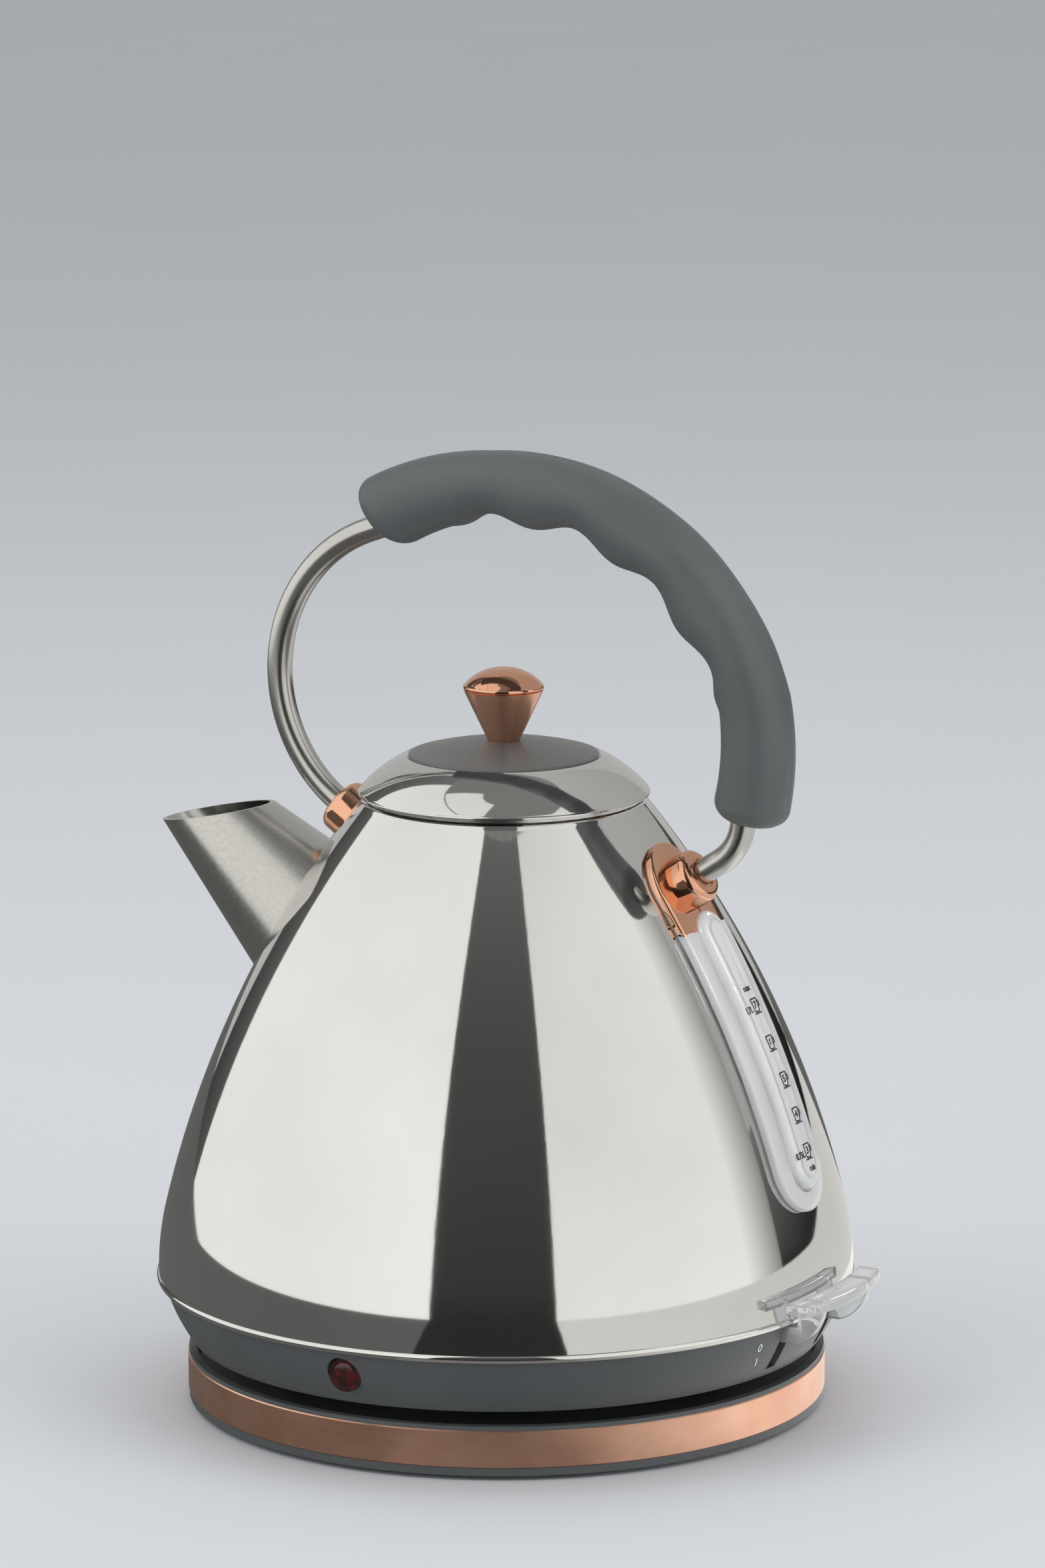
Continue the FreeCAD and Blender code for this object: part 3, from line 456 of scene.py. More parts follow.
milky = clear_plastic("milky", 0.5, 0.10, 0.03)
pebbled = clear_plastic("pebbled", 0.45, 0.14, 0.2)
silicone = clear_plastic("silicone", 0.5, 0.4, 0.05)
lens_red = red_plastic()
ink = printed_ink("ink", (0.006, 0.006, 0.007), (0.014, 0.014, 0.014))
pale_ink = printed_ink("pale_ink", (0.72, 0.73, 0.73), (0.82, 0.83, 0.83))
brass = satin_copper("brass", 120.0, (0.60, 0.42, 0.16), (0.74, 0.54, 0.24), 0.02)

NODE_PAINT = {
    collar_grey: ("base_tray", "base_plate", "collar", "bottom_cover", "cord_gland"),
    bolt_steel: ("base_screws", "bottom_screws", "handle_screws", "handle_inserts", "lid_screw",
                 "switch_pivot", "filter_mesh", "bimetal_disc", "heat_spreader", "heating_element",
                 "element_plate", "lid_inner"),
    black_plastic: ("base_connector", "jug_socket", "control_unit", "switch_bracket", "cord_clamp"),
    rubber: ("base_feet", "handle_seals", "lid_seal"),
    silicone: ("gauge_gasket",),
    white_plastic: ("steam_tube", "filter_frame", "indicator_lamp"),
    brass: ("contact_pin", "contact_rings", "socket_contacts"),
}
for material, names in NODE_PAINT.items():
    for name in names:
        nodes[name].data.materials.clear()
        nodes[name].data.materials.append(material)


# Body shell
def body_shell():
    offset_belly = BELLY_ARC - WALL
    throat = MOUTH_RADIUS + WALL
    mouth_low = NECK_TOP - MOUTH_DEPTH
    neck_turn = flank_angle(NECK_TOP - NECK_ROUNDING)
    neck = flank_point(neck_turn)
    profile = [(BELLY_RADIUS - WALL, RIM_HEIGHT)]
    profile += arc_through((BELLY_RADIUS - BEAD, RIM_HEIGHT), (BELLY_RADIUS + BEAD, RIM_HEIGHT + 2 * BEAD),
                           (BELLY_RADIUS, RIM_HEIGHT + 4 * BEAD), 12)
    profile += arc(BELLY_CENTER, BELLY_ARC, 0, BELLY_TURN, 24)
    profile += arc(FLANK_CENTER, FLANK_ARC, BELLY_TURN, neck_turn, 120)[1:]
    shoulder = (neck[0] - 0.45 * NECK_LIP, NECK_TOP - 0.25 * NECK_ROUNDING)
    profile += arc_through(neck, shoulder, (neck[0] - NECK_LIP, NECK_TOP), 8)[1:]
    profile += [(MOUTH_RADIUS, NECK_TOP), (MOUTH_RADIUS, mouth_low)]
    profile += [(throat, mouth_low), (throat, NECK_TOP - WALL)]
    profile += arc(FLANK_CENTER, FLANK_ARC - WALL, FLANK_TURN, BELLY_TURN, 60)
    profile += arc(BELLY_CENTER, offset_belly, BELLY_TURN, 0, 12)[1:]
    shell = lathe("kettle_body", profile, 320, closed_loop=True)
    return dress(cut(shell, slot_cutter(), spout_cutter()), steel, "jug", "steel", "body_shell")


def slot_cutter():
    radius = SLOT_WIDTH / 2
    outline = arc((0, SLOT_LOW + radius), radius, 180, 360, 16)
    outline += arc((0, SLOT_HIGH - radius), radius, 0, 180, 16)
    rings = [[(x, y, z) for y, z in outline] for x in CUTTER_SPAN]
    return new_object("slot_cutter", *rings_mesh(rings))


# Spout
SPOUT_AXIS = Vector((cosine(SPOUT_SLOPE), 0, -sine(SPOUT_SLOPE)))
SPOUT_FOOT = Vector((-body_radius(SPOUT_HEIGHT), 0, SPOUT_HEIGHT))
SPOUT_APEX = SPOUT_FOOT - SPOUT_AXIS * (SPOUT_ROOT / math.tan(math.radians(SPOUT_TAPER)))
SPOUT_TIP = Vector((-SPOUT_REACH, 0, SPOUT_APEX.z - (SPOUT_APEX.x + SPOUT_REACH)
                    * -math.tan(math.radians(SPOUT_SLOPE + SPOUT_TAPER))))
MOUTH_NORMAL = Vector((-sine(SPOUT_TILT), 0, cosine(SPOUT_TILT)))


def generator(turn):
    """Direction of one straight line of the spout's cone."""
    side = Vector((0, 1, 0))
    up = SPOUT_AXIS.cross(side)
    spoke = side * math.cos(turn) + up * math.sin(turn)
    return (SPOUT_AXIS * cosine(SPOUT_TAPER) + spoke * sine(SPOUT_TAPER)).normalized()


def spout_cutter():
    inner = SPOUT_APEX + SPOUT_AXIS * (SPOUT_WALL / sine(SPOUT_TAPER))
    count = 96
    rings = []
    for reach in (60.0, 150.0):
        rings.append([inner + generator(2 * math.pi * k / count) * reach for k in range(count)])
    return new_object("spout_cutter", *rings_mesh(rings))


def spout():
    count, steps = 160, 40
    inner_apex = SPOUT_APEX + SPOUT_AXIS * (SPOUT_WALL / sine(SPOUT_TAPER))
    walls = []
    for apex, deeper in ((SPOUT_APEX, 0.0), (inner_apex, 0.8)):
        lines = []
        for k in range(count):
            way = generator(2 * math.pi * k / count)
            mouth = (SPOUT_TIP - apex).dot(MOUTH_NORMAL) / way.dot(MOUTH_NORMAL)
            root = side_distance(apex, way, 60.0, 160.0) + deeper
            lines.append([apex + way * (mouth + (root - mouth) * s / steps) for s in range(steps + 1)])
        walls.append([[line[s] for line in lines] for s in range(steps + 1)])
    outside, inside = walls
    lip = [[o * 0.8 + i * 0.2 for o, i in zip(outside[0], inside[0])]]
    rings = list(reversed(outside)) + lip + inside
    piece = new_object("kettle_spout", *rings_mesh(rings, closed_loop=True), 30.0)
    return dress(piece, spout_steel, "jug", "satin_steel", "spout")


# Handle
def foot_on_body(height, side):
    angle = flank_angle(height)
    radius, level = flank_point(angle)
    return Vector((side * radius, 0, level)), Vector((side * cosine(angle), 0, sine(angle)))


def handle_line():
    """Centre line of the bent tube as (x, z) points."""
    (front, front_way), (rear, rear_way) = foot_on_body(FRONT_HEIGHT, -1), foot_on_body(REAR_HEIGHT, 1)
    front, rear = front + front_way * WALL, rear + rear_way * WALL
    lift = math.degrees(math.acos(-front_way.x))
    drop = math.degrees(math.asin(rear_way.z))
    rise = front + front_way * FRONT_STUB
    hub = (rise.x + FRONT_BEND * sine(lift), rise.z + FRONT_BEND * cosine(lift))
    crown = (hub[0] - FRONT_BEND * sine(CROWN_SLOPE), hub[1] + FRONT_BEND * cosine(CROWN_SLOPE))
    low = rear + rear_way * REAR_STUB
    low_hub = (low.x - REAR_BEND * sine(drop), low.z + REAR_BEND * cosine(drop))
    upright = low_hub[0] + REAR_BEND
    spread = (upright - crown[0]) / (1 + sine(CROWN_SLOPE))
    run = low_hub[1] + UPRIGHT_RUN - crown[1] + cosine(CROWN_SLOPE) * spread
    ramp = (crown[0] + run * cosine(CROWN_SLOPE), crown[1] + run * sine(CROWN_SLOPE))
    bend = (upright - ramp[0]) / (1 + sine(CROWN_SLOPE))
    crown_hub = (ramp[0] + bend * sine(CROWN_SLOPE), ramp[1] - bend * cosine(CROWN_SLOPE))
    line = [(front.x, front.z)]
    line += arc(hub, FRONT_BEND, 270 - lift, 90 + CROWN_SLOPE, 90)
    line += arc(crown_hub, bend, 90 + CROWN_SLOPE, 0, 60)
    line += arc(low_hub, REAR_BEND, 0, drop - 90, 40)
    return line + [(rear.x, rear.z)]


def sweep(name, line, radius, segments=64):
    """A round bar along an (x, z) line in the handle's plane."""
    rings = []
    for k, (x, z) in enumerate(line):
        ahead, behind = line[min(k + 1, len(line) - 1)], line[max(k - 1, 0)]
        way = Vector((ahead[0] - behind[0], 0, ahead[1] - behind[1])).normalized()
        across = Vector((-way.z, 0, way.x))
        turns = [2 * math.pi * s / segments for s in range(segments)]
        rings.append([Vector((x, 0, z)) + across * radius * math.cos(turn)
                      + Vector((0, 1, 0)) * radius * math.sin(turn) for turn in turns])
    return new_object(name, *rings_mesh(rings), 40.0)


def grip_ring(angle, outer_round, inner_round, side_round):
    """One oval across the grip, taken in at its ends by the three roundings."""
    wave = FINGER_DEPTH * cosine(360 * (angle - FINGER_FIRST) / FINGER_PITCH)
    fingers = smooth((FINGERS_START - angle) / FINGERS_EASE) * smooth((angle - FINGERS_END) / FINGERS_EASE)
    heel, crown = max(0, FINGERS_END - angle), max(0, angle - CROWN_START)
    inner = GRIP_INNER + fingers * wave - heel * HEEL_SWELL + inner_round
    outer = GRIP_RADIUS + crown * CROWN_SWELL - heel * HEEL_TAPER - outer_round
    middle, tall, half = (inner + outer) / 2, (outer - inner) / 2, GRIP_WIDTH / 2 - side_round
    ring = []
    count = 72
    for step in range(count):
        turn = 2 * math.pi * step / count
        corner = abs(math.cos(turn)) ** GRIP_FULLNESS + abs(math.sin(turn)) ** GRIP_FULLNESS
        bulge = corner ** (-1 / GRIP_FULLNESS)
        groove = SEAM_DEPTH * math.exp(-(min(turn, 2 * math.pi - turn) / SEAM_TURN) ** 2)
        x, z = on_arc(GRIP_CENTER, middle + (tall - groove) * bulge * math.cos(turn), angle)
        ring.append((x, half * bulge * math.sin(turn), z))
    return ring


def smooth(share):
    share = min(1.0, max(0.0, share))
    return share * share * (3 - 2 * share)


def grip():
    outer_edge, inner_edge, side_edge = 4.0, 7.5, 4.5
    per_degree = math.radians(1) * (GRIP_RADIUS + GRIP_INNER) / 2
    ease = inner_edge / per_degree
    steps = 14
    shares = [1 - math.cos(math.pi / 2 * k / steps) for k in range(steps)]
    angles = [(GRIP_START - ease * s, s) for s in shares]
    count = 220
    span = GRIP_START - GRIP_END - 2 * ease
    angles += [(GRIP_START - ease - span * k / count, 1.0) for k in range(count + 1)]
    angles += [(GRIP_END + ease * s, s) for s in reversed(shares)]
    rings = []
    for angle, share in angles:
        roundings = []
        for edge in (outer_edge, inner_edge, side_edge):
            near = min(1.0, share * inner_edge / edge)
            roundings.append(edge * (1 - math.sqrt(max(0.0, 1 - (1 - near) ** 2))))
        rings.append(grip_ring(angle, *roundings))
    piece = new_object("handle_grip_shell", *rings_mesh(rings), 50.0)
    return dress(piece, grip_grey, "jug", "grip", "handle_grip")


def boss_profile(length, rounding=2.4, recess=0.7):
    corner = (length - rounding, BOSS_RADIUS - rounding)
    bore = TUBE_RADIUS + BORE_FIT
    profile = [(0, BOSS_RADIUS)]
    profile += [(corner[0] + rounding * sine(a), corner[1] + rounding * cosine(a)) for a in range(0, 91, 6)]
    profile += [(length - 0.1, bore + 0.9), (length - recess, bore + 0.7), (length - recess, bore)]
    return profile + [(0, bore)]


def front_boss():
    foot, way = foot_on_body(FRONT_HEIGHT, -1)
    piece = along_axis("front_ferrule", boss_profile(BOSS_LENGTH), foot, way)
    return dress(piece, copper, "jug", "copper", "front_boss")


# Water gauge pieces lie over the rear of the body
def inset_outline(width, low, high, inset, square_top):
    """Outline of a bar with round ends, drawn in by inset, as (y, z) points."""
    half = width / 2 - inset
    bottom = (0, low + width / 2)
    outline = arc(bottom, half, 180, 360, 32)
    rise = 30
    top = high - inset if square_top else high - width / 2
    outline += [(half, bottom[1] + (top - bottom[1]) * k / rise) for k in range(1, rise)]
    if square_top:
        outline += [(half - 2 * half * k / 32, top) for k in range(33)]
    else:
        outline += arc((0, top), half, 0, 180, 32)
    outline += [(-half, top + (bottom[1] - top) * k / rise) for k in range(1, rise)]
    return outline


def pillow(name, width, low, high, base, rise, rounding, square_top=False, groove=0.0):
    """A raised bar with rounded edges that follows the body's side, with a groove round its crest."""
    crest = base + rise
    levels = [(0.0, base), (0.0, crest - rounding)]
    levels += [(rounding * (1 - cosine(a)), crest - rounding * (1 - sine(a))) for a in range(15, 91, 15)]
    room = width / 2 - rounding
    if groove:
        steps = ((0.3, 0), (0.6, 1), (1.0, 1), (1.3, 0))
        levels += [(rounding + d, crest - h * groove) for d, h in steps]
    levels += [(rounding + room * s, crest) for s in (0.35, 0.55, 0.75, 0.97)]
    rings = []
    for inset, proud in levels:
        rings.append([on_body(y, z, proud) for y, z in inset_outline(width, low, high, inset, square_top)])
    return new_object(name, *rings_mesh(rings), 30.0)


def prism(name, width, low, high):
    rings = [[(x, y, z) for y, z in inset_outline(width, low, high, 0.0, False)] for x in CUTTER_SPAN]
    return new_object(name, *rings_mesh(rings))


def rear_boss():
    foot, way = foot_on_body(REAR_HEIGHT, 1)
    thick = GAUGE_PLATE - GASKET
    plate = pillow("rear_plate", GAUGE_WIDTH, GAUGE_BOTTOM, GAUGE_TOP, GASKET, thick, PLATE_ROUNDING)
    lower = ((-GAUGE_WIDTH, 0), (GAUGE_WIDTH, 0), (GAUGE_WIDTH, GAUGE_SPLIT), (-GAUGE_WIDTH, GAUGE_SPLIT))
    rings = [[(x, y, z) for y, z in lower] for x in CUTTER_SPAN]
    below = new_object("below", *rings_mesh(rings))
    room = (BEAD_WIDTH + 2 * BEAD_FIT, GAUGE_BOTTOM + BEAD_MARGIN - BEAD_FIT, BEAD_TOP + BEAD_FIT)
    plate = cut(plate, below, prism("bead_room", *room))
    barrel = along_axis("rear_barrel", boss_profile(REAR_BOSS_LENGTH), foot, way)
    deep = GAUGE_PLATE + BEAD_RISE + WALL + BEAD_FIT
    barrel = cut(barrel, pillow("bead_room", *room, -WALL, deep, BEAD_ROUNDING))
    piece = joined("rear_boss_plate", plate, barrel)
    return dress(piece, copper, "jug", "copper", "rear_boss")


def gauge_window():
    thick = GAUGE_PLATE - GASKET
    top = GAUGE_SPLIT - BEAD_FIT
    flange = pillow("flange", GAUGE_WIDTH, GAUGE_BOTTOM, top, GASKET, thick, PLATE_ROUNDING, True)
    room = prism("bead_room", BEAD_WIDTH, GAUGE_BOTTOM + BEAD_MARGIN, BEAD_TOP)
    flange = cut(flange, room)
    dress(flange, milky, "jug", "clear")
    flange.name = "gauge_flange"
    bar = pillow("gauge_bead", BEAD_WIDTH, GAUGE_BOTTOM + BEAD_MARGIN, BEAD_TOP, -WALL,
                 GAUGE_PLATE + BEAD_RISE + WALL, BEAD_ROUNDING, groove=0.5)
    dress(bar, pebbled, "jug", "clear", "gauge_window")
    return flange, bar


# Lid
def lid():
    middle = ((LID_RADIUS + DISC_RADIUS) / 2 + LID_BULGE, (LID_SEAM + LID_LAND) / 2 + LID_BULGE / 2)
    brim = LID_RADIUS - 0.3
    dome = arc_through((brim, LID_SEAM), (LID_RADIUS, LID_SEAM + 0.4), (brim, LID_SEAM + 0.8), 6)
    dome += arc_through((LID_RADIUS - 0.5, LID_SEAM + 1.1), middle, (DISC_RADIUS + 0.4, LID_LAND), 48)
    seat, ledge = LID_LAND - 0.3, DISC_RADIUS - 4
    dome += [(DISC_RADIUS, seat), (ledge, seat), (ledge, LID_LAND - WALL)]
    inside = (middle[0] - WALL, middle[1] - WALL)
    inner = arc_through((LID_RADIUS - 1.4, LID_SEAM), inside, (DISC_RADIUS, LID_LAND - WALL), 24)
    piece = lathe("lid_shell", dome + list(reversed(inner)), 256, closed_loop=True)
    dress(piece, steel, "lid", "steel", "lid_dome")
    rise = (DISC_RADIUS * 0.5, LID_LAND + (DISC_CROWN - LID_LAND) * 0.78)
    edge = DISC_RADIUS - 0.4
    disc = [(0, LID_LAND - 0.3), (edge, LID_LAND - 0.3), (edge, LID_LAND + 0.2)]
    disc += arc_through((edge - 0.3, LID_LAND + 0.5), rise, (KNOB_BASE, DISC_CROWN), 32)
    piece = lathe("lid_disc_cap", disc + [(0, DISC_CROWN)], 192)
    dress(piece, disc_grey, "lid", "grey_plastic", "lid_disc")
    cone = [(0, DISC_CROWN), (KNOB_BASE, DISC_CROWN), (KNOB_BASE + 0.15, DISC_CROWN + 0.3)]
    cone += [(KNOB_RADIUS - 0.25, KNOB_SHOULDER - 0.5), (KNOB_RADIUS - 0.1, KNOB_SHOULDER - 0.15)]
    cone += [(KNOB_RADIUS - 0.4, KNOB_SHOULDER), (0, KNOB_SHOULDER)]
    dress(lathe("knob_cone", cone, 160), knob_copper, "lid", "satin_copper", "lid_knob")
    cap = [(0, KNOB_SHOULDER), (KNOB_RADIUS - 0.6, KNOB_SHOULDER)]
    cap += arc_through((KNOB_RADIUS - 0.3, KNOB_SHOULDER + 0.1), (KNOB_RADIUS, KNOB_SHOULDER + 0.7),
                       (KNOB_RADIUS - 0.4, KNOB_SHOULDER + 1.4), 8)
    crown = (KNOB_RADIUS * 0.55, KNOB_TOP - 1.35)
    cap += arc_through((KNOB_RADIUS - 0.8, KNOB_SHOULDER + 1.8), crown, (0, KNOB_TOP), 32)
    dress(lathe("knob_button", cap, 160), copper, "lid", "copper", "knob_cap")


# Switch lever
def extruded(name, outline, low, high, place):
    """A flat outline between two levels; place turns (u, v, level) into a point."""
    rings = [[place(u, v, level) for u, v in outline] for level in (low, high)]
    return new_object(name, *rings_mesh(rings))


def switch_lever():
    x, z = PIVOT
    outside = BELLY_RADIUS + BEAD + FIN_CLEAR
    fin_low, fin_high, nose = z - FIN_DROP, RIM_HEIGHT - FIN_ROOM, LEVER_REACH - NOSE_SETBACK
    pieces = []
    curve = arc_through((outside - 1, fin_low), (nose - 3.2, fin_low + 3.8), (nose, PADDLE_BOTTOM), 24)
    outline = [(x, fin_low)] + curve + [(nose, PADDLE_BOTTOM + 1), (outside, PADDLE_BOTTOM + 1),
                                        (outside, fin_high), (x, fin_high)]
    for side in (-1, 1):
        y = side * FIN_OFFSET
        near, far = y - FIN_THICKNESS / 2, y + FIN_THICKNESS / 2
        fin = extruded("fin", outline, near, far, lambda u, v, w: (u, w, v))
        pieces.append(bevelled(fin, FIN_EDGE))
    back = BELLY_RADIUS + BEAD + PADDLE_GAP
    angle = math.degrees(math.asin(PADDLE_HALF / PADDLE_BOW)) - 1.0
    reach = math.degrees(math.asin(PADDLE_HALF / back)) - 0.8
    crescent = arc((LEVER_REACH - PADDLE_BOW, 0), PADDLE_BOW, -angle, angle, 48)
    crescent += arc((0, 0), back, reach, -reach, 48)
    top = PADDLE_BOTTOM + PADDLE_THICK
    paddle = extruded("paddle", crescent, PADDLE_BOTTOM, top, lambda u, v, w: (u, v, w))
    pieces.append(bevelled(paddle, PADDLE_EDGE, 5))
    half = FIN_OFFSET + FIN_THICKNESS / 2
    circle = [on_arc(PIVOT, HUB_RADIUS, a) for a in range(0, 360, 9)]
    hub = [[(u, y, v) for u, v in circle] for y in (-half, half)]
    pieces.append(new_object("hub", *rings_mesh(hub)))
    return dress(joined("switch_paddle", *pieces), clear, "switch", "clear", "switch_lever")


# Base band and lens
def base_band():
    half = math.degrees(math.asin(BAND_GAP / BAND_RADIUS))
    edge = 0.35
    section = [(BAND_INNER, BAND_LOW), (BAND_RADIUS - edge, BAND_LOW), (BAND_RADIUS, BAND_LOW + edge),
               (BAND_RADIUS, BAND_HIGH - edge), (BAND_RADIUS - edge, BAND_HIGH), (BAND_INNER, BAND_HIGH)]
    count = 360
    rings = []
    for k in range(count + 1):
        angle = 90 + half + (360 - 2 * half) * k / count
        rings.append([(r * cosine(angle), r * sine(angle), z) for r, z in section])
    piece = new_object("base_trim_band", *rings_mesh(rings), 30.0)
    return dress(piece, band_copper, "base", "satin_copper", "base_band")


def indicator_lens():
    low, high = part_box("indicator_lens")
    center = Vector(((low.x + high.x) / 2, 0, (low.z + high.z) / 2)) / MM
    radius = (high.x - low.x) / 2 / MM
    front, back = -low.y / MM, -high.y / MM
    tip, rounding, dome = 0.001, 0.5, 0.75
    edge, groove, button = (front - 1.1, radius - rounding), radius - 1.3, radius - 1.5
    profile = [(back, tip), (back, radius), (edge[0], radius)]
    profile += [(edge[0] + rounding * sine(a), edge[1] + rounding * cosine(a)) for a in range(15, 91, 15)]
    profile += [(front - dome, groove)]
    profile += [(front - dome + dome * cosine(a), button * sine(a)) for a in range(90, -1, -9)]
    rings = []
    for depth, reach in profile:
        reach = max(reach, tip)
        rings.append([(center.x + reach * cosine(a), -depth, center.z + reach * sine(a))
                      for a in range(0, 360, 5)])
    piece = new_object("lens_window", *rings_mesh(rings), 40.0)
    return dress(piece, lens_red, "jug", "red_lens", "indicator_lens")


# Printed marks
def printed(name, text, size, place, normal, up, material, body, slot, width=1.0):
    """Flat characters lying on a surface, a hair proud of it."""
    curve = bpy.data.curves.new(name, "FONT")
    curve.body = text
    curve.size = size * MM
    curve.align_x, curve.align_y = "CENTER", "CENTER"
    curve.extrude = INK_HALF * MM
    curve.offset = INK_BOLD * MM
    helper = bpy.data.objects.new(name + "_text", curve)
    bpy.context.scene.collection.objects.link(helper)
    graph = bpy.context.evaluated_depsgraph_get()
    mesh = bpy.data.meshes.new_from_object(helper.evaluated_get(graph))
    bpy.data.objects.remove(helper)
    normal, up = Vector(normal).normalized(), Vector(up).normalized()
    across = up.cross(normal).normalized()
    up = normal.cross(across)
    turn = Matrix((across * width, up, normal)).transposed().to_4x4()
    turn.translation = (Vector(place) + normal * INK_LIFT) * MM
    mesh.transform(turn)
    obj = bpy.data.objects.new(name, mesh)
    bpy.context.scene.collection.objects.link(obj)
    return dress(obj, material, body, slot)


def bead_frame(y, height):
    """Point, normal and upward direction on the crest of the gauge's bead."""
    place = on_body(y, height, GAUGE_PLATE + BEAD_RISE)
    tilt, turn = flank_angle(height), math.degrees(math.atan2(place.y, place.x))
    normal = Vector((cosine(tilt) * cosine(turn), cosine(tilt) * sine(turn), sine(tilt)))
    return place, normal, Vector((-sine(tilt) * cosine(turn), -sine(tilt) * sine(turn), cosine(tilt)))


BOX_SIDES = ((3, 2, 1, 0), (4, 5, 6, 7), (0, 1, 5, 4), (1, 2, 6, 5), (2, 3, 7, 6), (3, 0, 4, 7))


def cup_outline(name, y, height):
    """A little cup with a handle and a saucer, drawn round a gauge number."""
    place, normal, up = bead_frame(y, height)
    across = up.cross(normal)
    lines = (((-1.7, 2.0), (1.7, 2.0), (1.4, -1.6), (0.8, -2.0), (-0.8, -2.0), (-1.4, -1.6), (-1.7, 2.0)),
             ((1.65, 1.3), (2.4, 0.9), (2.3, -0.3), (1.5, -0.7)), ((-2.1, -2.5), (2.1, -2.5)))
    levels = (INK_LIFT - INK_HALF, INK_LIFT + INK_HALF)
    vertices, faces = [], []
    for line in lines:
        for (u0, v0), (u1, v1) in zip(line, line[1:]):
            reach = math.hypot(u1 - u0, v1 - v0)
            du, dv = -(v1 - v0) / reach * INK_LINE, (u1 - u0) / reach * INK_LINE
            corners = ((u0 + du, v0 + dv), (u0 - du, v0 - dv), (u1 - du, v1 - dv), (u1 + du, v1 + dv))
            first = len(vertices)
            faces += [tuple(first + k for k in side) for side in BOX_SIDES]
            vertices += [place + across * u + up * v + normal * h for h in levels for u, v in corners]
    return dress(new_object(name, vertices, faces), ink, "jug", "clear")


def gauge_marks():
    """Cup numbers and words down the crest of the gauge's bead."""
    cups = (("7", 124.4), ("6", 114.0), ("5", 103.7), ("4", 93.7), ("3", 83.5))
    for number, height in cups:
        place = bead_frame(NUMBER_SIDE, height)
        printed("gauge_number_" + number, number, NUMBER_SIZE, *place, ink, "jug", "clear")
        cup_outline("gauge_cup_" + number, NUMBER_SIDE, height)
    words = (("max", "max", 129.2, 0.0), ("litres_full", "1.7L", 123.6, -3.6),
             ("litres_low", "0.75L", 82.8, -3.8), ("min", "min", 78.6, 1.2))
    for name, text, height, y in words:
        place = bead_frame(y, height)
        printed("gauge_word_" + name, text, WORD_SIZE, *place, ink, "jug", "clear", WORD_WIDTH)


def switch_marks():
    """The off and on marks on the collar beside the slit."""
    marks = (("off_mark", "0", 100.35, -15.1, 31.85), ("on_mark", "I", 98.2, -14.7, 27.1))
    for name, text, radius, angle, height in marks:
        level, drop = cosine(COLLAR_LEAN), sine(COLLAR_LEAN)
        out = Vector((cosine(angle) * level, sine(angle) * level, -drop))
        place = Vector((radius * cosine(angle), radius * sine(angle), height))
        printed(name, text, MARK_SIZE, place, out, (0, 0, 1), pale_ink, "jug", "grey_plastic")


body_shell()
spout()
dress(sweep("handle_bar", handle_line(), TUBE_RADIUS), tube_steel, "jug", "satin_steel", "handle_tube")
grip()
front_boss()
rear_boss()
gauge_window()
lid()
switch_lever()
base_band()
indicator_lens()
gauge_marks()
switch_marks()


# Studio: floor, soft panels, dark cards that the mirror finish shows, camera
def plain(name, color, rough=0.6):
    paint = Paint(name)
    paint.drive("Base Color", paint.ramp(paint.noise(6.0), rgb(*[c * 0.985 for c in color]), rgb(*color)))
    paint.shader.inputs["Roughness"].default_value = rough
    paint.shader.inputs["Specular IOR Level"].default_value = 0.0
    return paint.material


def floor():
    size = 6.0
    mesh = bpy.data.meshes.new("floor")
    corners = [(-size, -size, 0), (size, -size, 0), (size, size, 0), (-size, size, 0)]
    mesh.from_pydata(corners, [], [(0, 1, 2, 3)])
    obj = bpy.data.objects.new("floor", mesh)
    mesh.materials.append(plain("floor_pale", (0.70, 0.72, 0.75)))
    bpy.context.scene.collection.objects.link(obj)
    obj.visible_glossy = False


TOWARDS_CAMERA = Vector((sine(CAMERA_AZIMUTH), -cosine(CAMERA_AZIMUTH), 0))
CAMERA_RIGHT = Vector((cosine(CAMERA_AZIMUTH), sine(CAMERA_AZIMUTH), 0))


def bearing(angle):
    """Level direction seen from the object: 0 towards the camera, 90 to the camera's right."""
    return TOWARDS_CAMERA * cosine(angle) + CAMERA_RIGHT * sine(angle)


def glow(name, color):
    """An emissive finish whose strength is painted on the card's corners."""
    paint = Paint(name)
    paint.tree.nodes.remove(paint.shader)
    strength = paint.node("Attribute", attribute_name="glow").outputs["Fac"]
    emission = paint.node("Emission", {"Color": rgb(*color), "Strength": strength})
    output = paint.tree.nodes["Material Output"]
    paint.tree.links.new(emission.outputs["Emission"], output.inputs["Surface"])
    return paint.material


def mirror_only(obj):
    """Only mirror reflections show this piece of the studio."""
    obj.visible_camera = obj.visible_diffuse = obj.visible_shadow = obj.visible_transmission = False
    bpy.context.scene.collection.objects.link(obj)


def card(name, start, end, near, far, material, *strengths):
    """A card round the object between two (distance, height) rings, with (start, end) strengths on each."""
    count = 32
    vertices, levels = [], []
    for (distance, level), (first, last) in zip((near, far), strengths):
        for k in range(count + 1):
            vertices.append(bearing(start + (end - start) * k / count) * distance + Vector((0, 0, level)))
            levels.append(first + (last - first) * k / count)
    faces = [(k, k + 1, count + 2 + k, count + 1 + k) for k in range(count)]
    mesh = bpy.data.meshes.new(name)
    mesh.from_pydata(vertices, [], faces)
    mesh.attributes.new("glow", "FLOAT", "POINT").data.foreach_set("value", levels)
    mesh.materials.append(material)
    mirror_only(bpy.data.objects.new(name, mesh))


